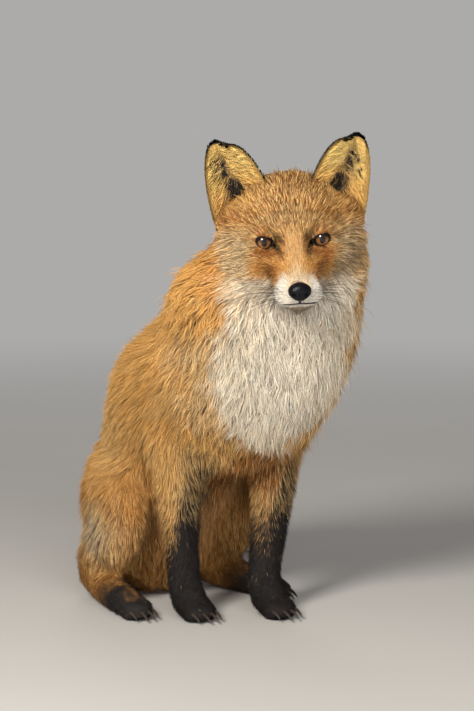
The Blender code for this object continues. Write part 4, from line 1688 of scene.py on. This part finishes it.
class EarHair(Enum):
    """The kinds of hair on an ear, in the order in which they grow.

    Each has its number of tufts, its face of the wall, which is 1 in the cup and -1 behind, and the shares
    that it covers of the way from the inner edge to the outer one and of the way from the foot to the tip.
    """

    BACK = (3200, -1.0, (0.0, 1.0), (EAR_LOW, EAR_HIGH))
    LINING = (2300, 1.0, (0.03, 0.97), (EAR_LOW, 0.95))
    INNER_FRINGE = (900, 1.0, (0.0, 0.30), (0.0, 0.93))
    OUTER_FRINGE = (750, 1.0, (0.72, 1.0), (EAR_LOW, 0.93))
    INNER_RIM = (900, -1.0, (0.0, 0.02), (EAR_LOW, EAR_HIGH))
    INNER_EDGE = (900, 1.0, (0.0, 0.02), (0.0, 0.97))
    OUTER_RIM = (1500, 1.0, (0.985, 1.0), (EAR_LOW, EAR_HIGH))
    TIP_RIM = (500, -1.0, (0.0, 1.0), (0.965, 1.0))
    BASE_FRINGE = (750, 1.0, (0.05, 1.0), (EAR_LOW, -0.08))
    UPPER_HOLLOW = (760, 1.0, (0.50, 0.80), (0.24, 0.56))
    LOWER_HOLLOW = (760, 1.0, (0.36, 0.70), (-0.22, 0.13))


@dataclass
class Spots:
    """Places on an ear's wall, with the ways up it, across it and out of the cup there."""

    up: Rows
    across: Rows
    here: Rows
    rise: Rows
    over: Rows
    front: Rows


@dataclass
class Strands:
    """How one kind of the ear's hair grows: its lie, length, height, width, colour and grizzle."""

    lie: Rows
    length: Rows
    height: Rows | float
    width: float
    main: Rows
    pale: float
    dark: Rows | float


@dataclass
class Ear:
    """A cup of skin between two curved edges that meet in a rounded tip, lined and backed with hair."""

    anatomy: Anatomy
    side: int
    word: str
    inner_edge: tuple = ((23, 36, 50), (42, 40, 95), (62, 45, 92))
    outer_edge: tuple = ((79, 50, 24), (87, 50, 66), (80, 49, 88))
    cup: float = 0.36
    wall: float = 1.7
    rows: int = 26
    columns: int = 22

    @staticmethod
    def edge(points: tuple, share: Rows) -> Rows:
        """Places on an edge's curve.

        Args:
            points: The curve's start, its middle point and its end.
            share: How far along it.

        Returns:
            The places.
        """
        first, middle, last = (np.array(point, float) for point in points)
        share = np.asarray(share)[..., None]
        start, end = (1 - share) * first + share * middle, (1 - share) * middle + share * last
        return (1 - share) * start + share * end

    def sheet(self, up: Rows, across: Rows) -> Rows:
        """Places on the middle of the ear's wall, in the head's frame.

        Args:
            up: Shares from the base to the tip.
            across: Shares from the inner edge to the outer one.

        Returns:
            The places.
        """
        inner, outer = self.edge(self.inner_edge, up), self.edge(self.outer_edge, up)
        width = np.linalg.norm(outer - inner, axis=-1)
        points = inner + (outer - inner) * across[..., None]
        points[..., 1] += self.cup * width * np.sin(math.pi * across) ** 0.8
        points[..., 2] += 3.5 * np.sin(math.pi * across) * ramp(up, 0.7, 1.0)
        points[..., 0] *= self.side
        return points

    def build(self, skin_finish: Material, hair: Material, share: float) -> None:
        """Models the cup and grows its hair.

        Args:
            skin_finish: The material of bare hide.
            hair: The material of the coat.
            share: How much of the full number of tufts to grow.
        """
        calm()
        bpy.ops.mesh.primitive_grid_add(x_subdivisions=self.columns, y_subdivisions=self.rows, size=1)
        thing = bpy.context.active_object
        thing.name = thing.data.name = f"ear_skin_{self.word}"
        flat = corners_of(thing.data)
        up = EAR_LOW + (EAR_HIGH - EAR_LOW) * (flat[:, 1] + 0.5)
        place = self.sheet(up, flat[:, 0] + 0.5)
        put_corners(thing.data, self.anatomy.from_head(place))
        pick(thing)
        wall = thing.modifiers.new("wall", "SOLIDIFY")
        wall.thickness, wall.offset = self.wall * MM, 0.0
        bpy.ops.object.modifier_apply(modifier=wall.name)
        face_outwards(thing)
        paint_points(thing.data, self.hide_colours(thing))
        dress(thing, skin_finish, "coat", f"ear_{self.word}")
        dress(self.hair(share), hair, "coat")

    def hide_colours(self, thing: Object) -> Rows:
        """Black behind and at the tip, and gold in the cup.

        Args:
            thing: The cup, with its wall.

        Returns:
            One colour for each of its vertices.
        """
        head = self.anatomy.to_head(corners_of(thing.data))
        faces_back = self.anatomy.turn.T @ normals_of(thing.data).T
        back = ramp(faces_back[1], 0.45, 0.75)
        return mixed(Tone.GOLD.rgb * 0.55, Tone.BLACK.rgb, np.maximum(back, ramp(head[:, 2], 91, 93)))

    def hair(self, share: float) -> Object:
        """Grows the hair: short black velvet behind, gold inside, longest along the edges.

        Args:
            share: How much of the full number of tufts to grow.

        Returns:
            All of it as one piece.
        """
        chance = np.random.default_rng(61 + self.side)
        things = []
        for number, kind in enumerate(EarHair):
            count, face, span, reach = kind.value
            up = chance.uniform(*reach, int(count * share))
            across = chance.uniform(*span, int(count * share))
            things.append(object_from(self.batch(kind, number, self.spots(up, across), face, chance)))
        return as_one(things, f"coat_ear_{self.word}")

    def spots(self, up: Rows, across: Rows) -> Spots:
        """Finds places on the wall and the ways along it.

        Args:
            up: Shares of the way from the foot to the tip.
            across: Shares of the way from the inner edge to the outer one.

        Returns:
            The places, in the head's frame.
        """
        small = 0.01
        here = self.sheet(up, across)
        rise = unit(self.sheet(up + small, across) - here)
        before, after = np.clip(across - small, 0, 1), np.clip(across + small, 0, 1)
        over = unit(self.sheet(up, after) - self.sheet(up, before))
        normal = unit(np.cross(over, rise)) * self.side
        return Spots(up, across, here, rise, over, normal * np.where(normal[:, 1:2] > 0, -1.0, 1.0))

    def batch(self, kind: EarHair, number: int, spots: Spots, face: float,
              chance: Chance) -> Mesh:
        """Grows one kind of the ear's hair.

        Args:
            kind: Which one.
            number: Its place in the order, for its seed and its strip of the bake map.
            spots: Where it grows.
            face: 1 in the cup and -1 behind it.
            chance: Where its lengths are drawn from.

        Returns:
            The mesh of its tufts.
        """
        here, normal = spots.here, spots.front * face
        if kind in (EarHair.BACK, EarHair.INNER_RIM, EarHair.TIP_RIM):
            strands = self.velvet(kind, spots)
        elif kind is EarHair.BASE_FRINGE:
            strands = self.foot_hair(spots, chance)
        elif kind in (EarHair.UPPER_HOLLOW, EarHair.LOWER_HOLLOW):
            strands = self.hollow_hair(kind, spots, chance)
        elif kind in (EarHair.OUTER_RIM, EarHair.INNER_EDGE):
            strands = self.edge_hair(kind, spots)
            here = here - spots.front * (self.wall * chance.uniform(0, 1, len(here)))[:, None]
        else:
            strands = self.lining_hair(kind, spots, chance)
        if face > 0 and kind not in (EarHair.OUTER_RIM, EarHair.INNER_EDGE):
            normal = unit(normal + np.array((0.0, -0.9, 0.1)))
        points = self.anatomy.from_head(here + normal * (self.wall * 0.45))
        strip = 0.03 + 0.066 * (spots.up + 0.26) + 0.085 * number
        uv = np.column_stack([0.05 + 0.4 * spots.across + 0.5 * (face < 0), strip])
        turn = self.anatomy.heading
        # Roots at 0.4 of the tip colour: partly the hair's own colour, partly painted shade between tufts.
        hue = Hue(strands.main, strands.main * 0.4, strands.pale, strands.dark)
        roots = Roots(points, turn(normal), turn(strands.lie), strands.length, strands.height,
                      strands.width, uv, hue)
        bent = (EarHair.LINING, EarHair.INNER_FRINGE, EarHair.OUTER_FRINGE, EarHair.BASE_FRINGE)
        seed = 70 + number + self.side
        tufts = Tufts(seed, int(kind in bent), clump=0.3, clump_size=8, wave=9.0, waver=0.2, spread=0.22)
        return tufts.grow(f"{kind.name.lower()}_{self.word}", roots, None)

    @staticmethod
    def velvet(kind: EarHair, spots: Spots) -> Strands:
        """The short black hair behind, brown at its foot and gold along the outer edge."""
        lie = unit(spots.rise + spots.over * (-2.6 if kind is EarHair.INNER_RIM else 0.0))
        brown = ramp(spots.up, 0.35, 0.0) * (kind is EarHair.BACK)
        main = mixed(Tone.BLACK.rgb * 1.3, Tone.RUST.rgb * 0.8, brown)
        main = mixed(main, Tone.GOLD.rgb, ramp(spots.across, 0.78, 0.88) * ramp(spots.up, 0.84, 0.7))
        return Strands(lie, np.full(len(main), 5.0), 0.9, 0.8, main, 0.0, 0.0)

    @staticmethod
    def foot_hair(spots: Spots, chance: Chance) -> Strands:
        """The long gold hair that hangs over the foot of the ear."""
        count = len(spots.up)
        sway = chance.normal(size=count)[:, None]
        lie = unit(-spots.rise + spots.over * sway * 0.25 - spots.front * 0.2)
        length = chance.uniform(10, 18, count)
        main = mixed(EAR_GOLD, Tone.ORANGE.rgb, ramp(spots.up, 0.1, -0.15))
        return Strands(lie, length, length * 0.35, 0.85, main, 0.25, 0.08)

    @staticmethod
    def hollow_hair(kind: EarHair, spots: Spots, chance: Chance) -> Strands:
        """The loose dark hair of the cup's two hollows."""
        lie = unit(spots.rise * 0.8 + spots.over * (0.8 if kind is EarHair.UPPER_HOLLOW else -0.2))
        length = chance.uniform(7, 14, len(lie))
        main = np.tile(Tone.BLACK.rgb * 1.5, (len(lie), 1))
        return Strands(lie, length, length * 0.55, 0.75, main, 0.06, 0.0)

    @staticmethod
    def edge_hair(kind: EarHair, spots: Spots) -> Strands:
        """The close gold hair on the thickness of the wall, black towards the tip."""
        lie = unit(spots.rise * 0.8 + spots.over * (0.9 if kind is EarHair.OUTER_RIM else -0.5))
        main = mixed(EAR_GOLD, Tone.BLACK.rgb, ramp(spots.up, 0.74, 0.92))
        return Strands(lie, np.full(len(lie), 6.0), 1.2, 0.75, main, 0.3, 0.05)

    def lining_hair(self, kind: EarHair, spots: Spots, chance: Chance) -> Strands:
        """The gold hair of the cup, combed inwards from both edges, over two dark hollows.

        Args:
            kind: The lining, or the fringe of either edge.
            spots: Where it grows.
            chance: Where its lengths are drawn from.

        Returns:
            How it grows.
        """
        up, across = spots.up, spots.across
        lining = kind is EarHair.LINING
        inward = np.where(across < 0.5, 1.0, -1.0)[:, None]
        lie = unit(spots.rise * (0.9 if lining else 0.75) + spots.over * inward * (0.35 if lining else 0.8))
        wide = np.linalg.norm(self.edge(self.outer_edge, up) - self.edge(self.inner_edge, up), axis=1)
        longest = np.clip(wide * 0.26, 3.0, 14.0) * ramp(up, 1.04, 0.8)
        length = longest * (0.55 if lining else 1.0) * chance.uniform(0.7, 1.2, len(up))
        main = mixed(EAR_GOLD, Tone.ORANGE.rgb * 1.1, 0.6 * ramp(up, 0.34, -0.1))
        hollow = np.exp(-(((across - 0.64) / 0.15) ** 2) - ((up - 0.41) / 0.19) ** 2)
        hollow += np.exp(-(((across - 0.52) / 0.18) ** 2) - ((up + 0.02) / 0.19) ** 2)
        hollow = np.clip(hollow * 1.9 * (1 + 0.4 * ripple(spots.here, 5, 77)), 0, 1)
        # Painted light: the inner half of the left ear's lining is brightened.
        main *= 1 + (0.45 if self.side > 0 else 0.0) * ramp(across, 0.62, 0.40)[:, None]
        # Painted shade along the fold of the cup.
        painted_fold_shade = np.exp(-(((across - 0.6) / 0.2) ** 2)) * ramp(up, 0.8, 0.55)
        main = mixed(main, Tone.UMBER.rgb, 0.35 * painted_fold_shade)
        main = mixed(main, Tone.BLACK.rgb * 1.5, hollow * (0.97 if lining else 0.85))
        height = length * (0.26 if lining else 0.42)
        return Strands(lie, length, height, 0.75, main, 0.25, 0.04 + 0.3 * hollow)


# --- Eyes, nose, lips, whiskers and claws ---


@dataclass
class Eye:
    """An eyeball with a slight bulge of the cornea, and the dark rim of the lids that holds it."""

    anatomy: Anatomy
    side: int
    word: str
    radius: float = 10.4
    bulge: float = 0.7
    iris: float = 7.9
    rim_radius: float = 0.8

    def build(self) -> None:
        """Models the ball and the rim."""
        centre = self.anatomy.from_head((self.side * EYE_ASIDE, EYE_SETBACK, 0.0))
        calm()
        bpy.ops.mesh.primitive_uv_sphere_add(
            segments=56, ring_count=36, radius=self.radius * MM, location=(0, 0, 0)
        )
        ball = bpy.context.active_object
        ball.name = ball.data.name = f"eyeball_{self.word}"
        points = corners_of(ball.data) / MM
        points = points[:, [0, 2, 1]] * np.array((1.0, -1.0, 1.0))
        off = np.hypot(points[:, 0], points[:, 2])
        front = (points[:, 1] < 0) & (off < self.iris)
        points[front, 1] -= self.bulge * (1 - (off[front] / self.iris) ** 2)
        put_corners(ball.data, self.anatomy.heading(points) * MM + centre)
        face_outwards(ball)
        finish = EyeFinish(f"eye_{self.word}", tuple(centre), self.iris)
        dress(ball, finish.make(), "eye", f"eye_{self.word}")
        self.rim()

    def rim(self) -> None:
        """The lids' bare dark edge, bent from a ring along their opening."""
        minor = 0.2
        calm()
        bpy.ops.mesh.primitive_torus_add(
            major_segments=72, minor_segments=12, major_radius=1.0, minor_radius=minor, location=(0, 0, 0)
        )
        ring = bpy.context.active_object
        ring.name = ring.data.name = f"lid_rim_{self.word}"
        points = corners_of(ring.data)
        angle = np.arctan2(points[:, 1], points[:, 0])
        out = (np.hypot(points[:, 0], points[:, 1]) - 1.0) / minor
        up = points[:, 2] / minor
        dx, dz = almond_edge(angle)
        away = np.hypot(dx, dz)
        fuller = 0.9 * ramp(-np.cos(angle), 0.6, 1.0) + 0.35 * ramp(np.sin(angle), 0, 0.7)
        thick = self.rim_radius * (1.0 + fuller)
        scale = 1 + out * thick / away
        dx, dz = dx * scale, dz * scale
        ball = LID_BALL_SETBACK - np.sqrt(np.maximum(LID_BALL**2 - dx**2 - dz**2, 9.0))
        y = ball + 0.5 - up * thick * 0.9
        place = np.column_stack([self.side * (EYE_ASIDE + dx), y, dz])
        put_corners(ring.data, self.anatomy.from_head(place))
        face_outwards(ring)
        finish = LeatherFinish(
            f"lid_{self.word}", tint=(0.005, 0.004, 0.004), pebbles=1600.0, roughness=0.55,
            height=0.0002, shine=0.08,
        )
        dress(ring, finish.make(), "coat")


def almond_edge(angle: Rows) -> tuple[Rows, Rows]:
    """The edge of the lids' opening, drawn out at the inner corner.

    Args:
        angle: Round the eye, from 0 at the outer corner.

    Returns:
        Millimetres outwards and upwards from the eye's centre.
    """
    across, up = np.cos(angle), np.sin(angle)
    corner = np.maximum(-across, 0) ** 8
    dx = np.where(across > 0, LID_OUTER, LID_INNER) * across - 3.2 * corner
    return dx, np.where(up > 0, LID_ABOVE, LID_BELOW) * up + LID_TILT * dx - 2.0 * corner


@dataclass
class Nose:
    """The leather pad with its nostrils and the groove down its middle."""

    anatomy: Anatomy
    at: tuple = (0.0, -79.0, -33.0)
    half: tuple = (11.4, 8.8, 9.6)
    nostril_at: tuple = (6.0, -2.2)
    nostril_size: tuple = (2.2, 1.7)
    nostril_depth: float = 3.4

    def build(self) -> None:
        """Models the pad."""
        calm()
        bpy.ops.mesh.primitive_uv_sphere_add(segments=72, ring_count=48, radius=1.0, location=(0, 0, 0))
        pad = bpy.context.active_object
        pad.name = pad.data.name = "nose_leather"
        p = corners_of(pad.data)[:, [0, 2, 1]] * np.array((1.0, -1.0, 1.0))
        x, y, z = p.T
        wide = 1.0 + 0.06 * ramp(z, -0.2, 0.6) - 0.14 * ramp(z, -0.2, -1.0)
        x, z = x * wide * self.half[0], z * self.half[2] * (1 - 0.10 * np.abs(x))
        y = np.where(y < 0, -np.abs(y) ** 0.82, y) * self.half[1]
        side = np.abs(x)
        front = ramp(y, -1.5, -4.0)
        nx, nz = side - self.nostril_at[0], z - self.nostril_at[1]
        hole = np.exp(-((nx / self.nostril_size[0]) ** 2 + (nz / self.nostril_size[1]) ** 2) ** 1.4)
        slit = np.exp(-(((nx - 3.4) / 3.0) ** 2) - ((nz + 1.2 + 0.35 * nx) / 1.0) ** 2)
        groove = np.exp(-((x / 0.8) ** 2)) * ramp(z, 2.5, -1.0)
        wing = np.exp(-(((side - 8.0) / 2.2) ** 2) - ((z - 1.5) / 3.4) ** 2)
        y = y + front * (self.nostril_depth * hole + 2.4 * slit + 0.9 * groove - 0.5 * wing)
        place = np.column_stack([x, y, z]) + np.array(self.at)
        put_corners(pad.data, self.anatomy.from_head(place))
        face_outwards(pad)
        finish = LeatherFinish(
            "nose_leather", tint=(0.004, 0.004, 0.005), pebbles=1150.0, roughness=0.24,
            height=0.0003, shine=0.12,
        )
        dress(pad, finish.make(), "nose", "nose")


@dataclass
class Mouth:
    """The dark edge of the closed lips and the cleft that joins it to the nose."""

    anatomy: Anatomy
    skin: Skin
    line: tuple = (
        (0, -80, -42), (0, -80, -45.5), (1, -79, -48.4), (5, -78, -49.0), (10, -75, -48.8),
        (15, -70, -47.9), (19, -62, -46.4), (22, -52, -44.6), (25, -38, -41.5), (27, -24, -38.0),
    )
    steps: int = 46

    def build(self) -> None:
        """Lays a thin tapering tube along each half of the mouth."""
        tree = self.skin.tree()
        for word, side in (("left", 1), ("right", -1)):
            route = np.array(self.line, float) * np.array((side, 1.0, 1.0))
            steps = np.linspace(0, len(route) - 1, self.steps)
            base = np.floor(steps).astype(int).clip(0, len(route) - 2)
            part = (steps - base)[:, None]
            path = self.anatomy.from_head(route[base] * (1 - part) + route[base + 1] * part)
            for number, point in enumerate(path):
                hit = tree.find_nearest(Vector(point))
                path[number] = np.array(hit[0]) + np.array(hit[1]) * 0.0004
            share = np.linspace(0, 1, self.steps)
            radius = np.interp(share, (0, 0.15, 0.5, 1), (0.7, 1.0, 0.8, 0.25))
            lip = object_from(tube(f"lip_{word}", path, radius * MM, 10))
            finish = LeatherFinish(
                lip.name, tint=(0.014, 0.010, 0.010), pebbles=1400.0, roughness=0.4, height=0.0002
            )
            dress(lip, finish.make(), "coat")


def tube(name: str, path: Rows, radius: Rows, sides: int) -> Mesh:
    """A closed round tube along a path.

    Args:
        name: The mesh's name.
        path: Places in metres, in order.
        radius: The radius at each place, in metres.
        sides: Corners round it.

    Returns:
        The mesh.
    """
    ahead = unit(np.gradient(path, axis=0))
    across = unit(np.cross(ahead, np.array((0.12, 0.3, 1.0))))
    up = np.cross(across, ahead)
    angle = math.tau * np.arange(sides) / sides
    rings = (
        path[:, None]
        + across[:, None] * (radius[:, None] * np.cos(angle))[..., None]
        + up[:, None] * (radius[:, None] * np.sin(angle))[..., None]
    )
    count = len(path)
    points = np.concatenate([rings.reshape(-1, 3), path[:1], path[-1:]])
    faces = []
    for ring in range(count - 1):
        for corner in range(sides):
            a, b = ring * sides + corner, ring * sides + (corner + 1) % sides
            faces += [(a, b, b + sides), (a, b + sides, a + sides)]
    for corner in range(sides):
        after = (corner + 1) % sides
        last = (count - 1) * sides
        faces += [(count * sides, after, corner), (count * sides + 1, last + corner, last + after)]
    return mesh_from(name, points, np.array(faces)[:, ::-1])


@dataclass
class Whiskers:
    """Long black hairs in rows on each pad of the muzzle, with a few at the brow."""

    anatomy: Anatomy
    skin: Skin
    longest: float = 62.0
    radius: float = 0.18
    chance: Chance = field(default_factory=lambda: np.random.default_rng(17))

    def build(self) -> None:
        """Grows them as thin bent cones."""
        plans = []
        for side in (-1, 1):
            for row in range(4):
                for column in range(5):
                    start = (side * (16 + 1.6 * column + 0.5 * row), -70 + 5.0 * column, -34 - 3.4 * row)
                    out = (side * (1.0 - 0.07 * column), 0.15 + 0.22 * column, 0.12 - 0.14 * row)
                    size = self.longest * (0.45 + 0.14 * column) * self.chance.uniform(0.8, 1.1)
                    plans.append((start, out, size, self.radius))
            for number in range(3):
                start = (side * (22 + 3 * number), 2 * number, 15 + number)
                out = (side * (0.35 + 0.1 * number), -0.25, 0.9)
                plans.append((start, out, 24.0, self.radius * 0.7))
        tree = self.skin.tree()
        hairs = [object_from(self.whisker(tree, *plan)) for plan in plans]
        joined = as_one(hairs, "whiskers")
        paint_points(joined.data, np.tile((0.03, 0.026, 0.024), (len(joined.data.vertices), 1)))
        dress(joined, CoatFinish("whisker_hair", 0.35).make(), "coat")

    def whisker(self, tree: BVHTree, start: tuple, out: tuple, size: float, radius: float) -> Mesh:
        """Grows one hair, which droops a little.

        Args:
            tree: The skin.
            start: Near its root, in the head's frame.
            out: The way it leaves, in the head's frame.
            size: Its length.
            radius: At its root.

        Returns:
            Its mesh.
        """
        root = np.array(tree.find_nearest(Vector(self.anatomy.from_head(start)))[0])
        stray = self.chance.normal(size=3) * 0.06
        out = unit(self.anatomy.heading(out + stray)[None])[0]
        share = np.linspace(0, 1, 12)[:, None]
        droop = np.array((0, 0, -1.0)) * (share**2) * size * 0.16
        path = root + (out * share * size + droop) * MM
        thin = radius * (1 - share[:, 0]) ** 0.7 + 0.03
        return tube("whisker", path, thin * MM, 5)


@dataclass
class Claws:
    """Sixteen curved claws, each in the place of its solid."""

    frame: dict
    sides: int = 12
    rings: int = 9

    def build(self) -> None:
        """Models each claw in its solid's box: thick at the toe and hooked down to a blunt point."""
        names = sorted(name for name in self.frame["nodes"] if "claw" in name)
        claws = []
        for name in names:
            low, high = (np.array(corner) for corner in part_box(name))
            share = np.linspace(0, 1, self.rings)
            height = high[2] - low[2]
            radius = 0.42 * (high[0] - low[0])
            top = high[2] - 1.4 * radius
            path = np.column_stack([
                np.full(self.rings, (low[0] + high[0]) / 2),
                high[1] + (low[1] - high[1]) * share,
                top - (height - 1.4 * radius) * share**1.9,
            ])
            thick = 1.3 * radius * (1 - share**1.6) ** 0.7 + 0.00018
            claws.append(object_from(tube(f"{name}_horn", path, thick, self.sides)))
        dress(as_one(claws, "claws"), HornFinish().make(), "claw", *names)


# --- The studio ---


@dataclass
class Studio:
    """A plain pale floor, soft lights and the camera. Its places are in metres."""

    anatomy: Anatomy
    azimuth: float = -34.0
    elevation: float = 6.0
    distance: float = 2.5
    lens: float = 118.0
    aim: tuple = (0.0138, -0.0393, 0.2848)
    surround: tuple = (0.98, 0.97, 0.95, 1.0)
    glow: float = 0.42

    def build(self) -> None:
        """Sets everything up."""
        self.floor()
        self.lights()
        self.camera()
        self.backdrop()
        bpy.context.scene.view_settings.view_transform = "Standard"

    def backdrop(self) -> None:
        """A pale surround, dimmer overhead."""
        world = bpy.data.worlds.new("studio")
        bpy.context.scene.world = world
        world.use_nodes = True
        nodes, links = world.node_tree.nodes, world.node_tree.links
        split, shades = nodes.new("ShaderNodeSeparateXYZ"), nodes.new("ShaderNodeValToRGB")
        links.new(nodes.new("ShaderNodeTexCoord").outputs["Generated"], split.inputs[0])
        links.new(split.outputs[2], shades.inputs[0])
        low, high = shades.color_ramp.elements
        low.position, low.color = 0.1, self.surround
        high.position, high.color = 0.55, (0.24, 0.24, 0.25, 1.0)
        links.new(shades.outputs[0], nodes["Background"].inputs[0])
        nodes["Background"].inputs[1].default_value = self.glow

    def floor(self) -> None:
        """A wide matt floor, which fades far off into the surround."""
        calm()
        bpy.ops.mesh.primitive_plane_add(size=80, location=(0, 0, 0))
        floor = bpy.context.active_object
        floor.name = "studio_floor"
        sheet = Sheet("studio_floor", Roughness=0.9, Specular_IOR_Level=0.2)
        faint = sheet.noise(3.0)
        colour = sheet.ramped(faint, [(0.3, (0.50, 0.49, 0.48)), (0.7, (0.52, 0.51, 0.50))])
        away = sheet.add("VectorMath", operation="LENGTH")
        sheet.join(sheet.add("TexCoord").outputs["Object"], away.inputs[0])
        far = sheet.add("MapRange", interpolation_type="SMOOTHSTEP")
        sheet.join(away.outputs["Value"], far.inputs["Value"])
        far.inputs["From Min"].default_value, far.inputs["From Max"].default_value = 0.45, 3.2
        glow = sheet.add("Emission")
        glow.inputs["Color"].default_value, glow.inputs["Strength"].default_value = self.surround, self.glow
        both = sheet.add("MixShader")
        sheet.join(far.outputs["Result"], both.inputs[0])
        sheet.join(sheet.shader.outputs[0], both.inputs[1])
        sheet.join(glow.outputs[0], both.inputs[2])
        sheet.join(both.outputs[0], sheet.tree.nodes["Material Output"].inputs["Surface"])
        floor.data.materials.append(sheet.colour(colour))

    def lights(self) -> None:
        """A broad key from the left of the view, a weaker fill and a rim from behind."""
        for name, azimuth, elevation, far, size, power, tint in (
            ("key", -57.0, 28.0, 2.3, 0.65, 63.0, (1.0, 0.94, 0.84)),
            ("fill", -20.0, 12.0, 2.8, 1.6, 49.0, (1.0, 0.96, 0.92)),
            ("rim", 150.0, 40.0, 2.4, 1.0, 10.0, (1.0, 0.96, 0.90)),
        ):
            lamp = bpy.data.lights.new(name, "AREA")
            lamp.energy, lamp.size, lamp.color, lamp.shape = power, size, tint, "DISK"
            thing = bpy.data.objects.new(name, lamp)
            thing.visible_glossy = name == "key"
            bpy.context.scene.collection.objects.link(thing)
            self.place(thing, azimuth, elevation, far, Vector((0, -0.02, 0.28)))

    def camera(self) -> None:
        """The view's camera."""
        lens = bpy.data.cameras.new("camera")
        lens.lens, lens.sensor_width, lens.clip_start = self.lens, 36.0, 0.05
        thing = bpy.data.objects.new("camera", lens)
        bpy.context.scene.collection.objects.link(thing)
        target = Vector(self.anatomy.from_body(np.array(self.aim) / MM))
        self.place(thing, self.azimuth, self.elevation, self.distance, target)
        bpy.context.scene.camera = thing

    @staticmethod
    def place(thing: Object, azimuth: float, elevation: float, far: float, target: Vector) -> None:
        """Puts a lamp or camera at angles round a target and points it there.

        Args:
            thing: The lamp or camera.
            azimuth: Degrees round the target, from in front of the fox.
            elevation: Degrees above it.
            far: Metres from it.
            target: Where it points.
        """
        turn, rise = math.radians(azimuth), math.radians(elevation)
        back = Vector((math.sin(turn) * math.cos(rise), -math.cos(turn) * math.cos(rise), math.sin(rise)))
        thing.location = target + back * far
        thing.rotation_mode = "QUATERNION"
        thing.rotation_quaternion = (-back).to_track_quat("-Z", "Y")


def write_sizes() -> None:
    """Brings the view layer up to date."""
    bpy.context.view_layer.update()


def main() -> None:
    """Builds the fox and its studio."""
    logging.basicConfig(level=logging.INFO, format="%(name)s %(message)s")
    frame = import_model()
    anatomy = Anatomy()
    growth, markings = Growth(anatomy), Markings(anatomy)
    share = FULL_COAT
    hair = CoatFinish().make()
    skin = Skin(anatomy, growth, markings)
    skin.build(frame)
    Coat(skin, growth, markings, hair, share).build()
    ear_skin = SkinFinish("ear_skin").make()
    for word, side in (("left", 1), ("right", -1)):
        Ear(anatomy, side, word).build(ear_skin, hair, share)
        Eye(anatomy, side, word).build()
    Nose(anatomy).build()
    Mouth(anatomy, skin).build()
    Whiskers(anatomy, skin).build()
    Claws(frame).build()
    Studio(anatomy).build()
    write_sizes()


if __name__ == "__main__":
    main()
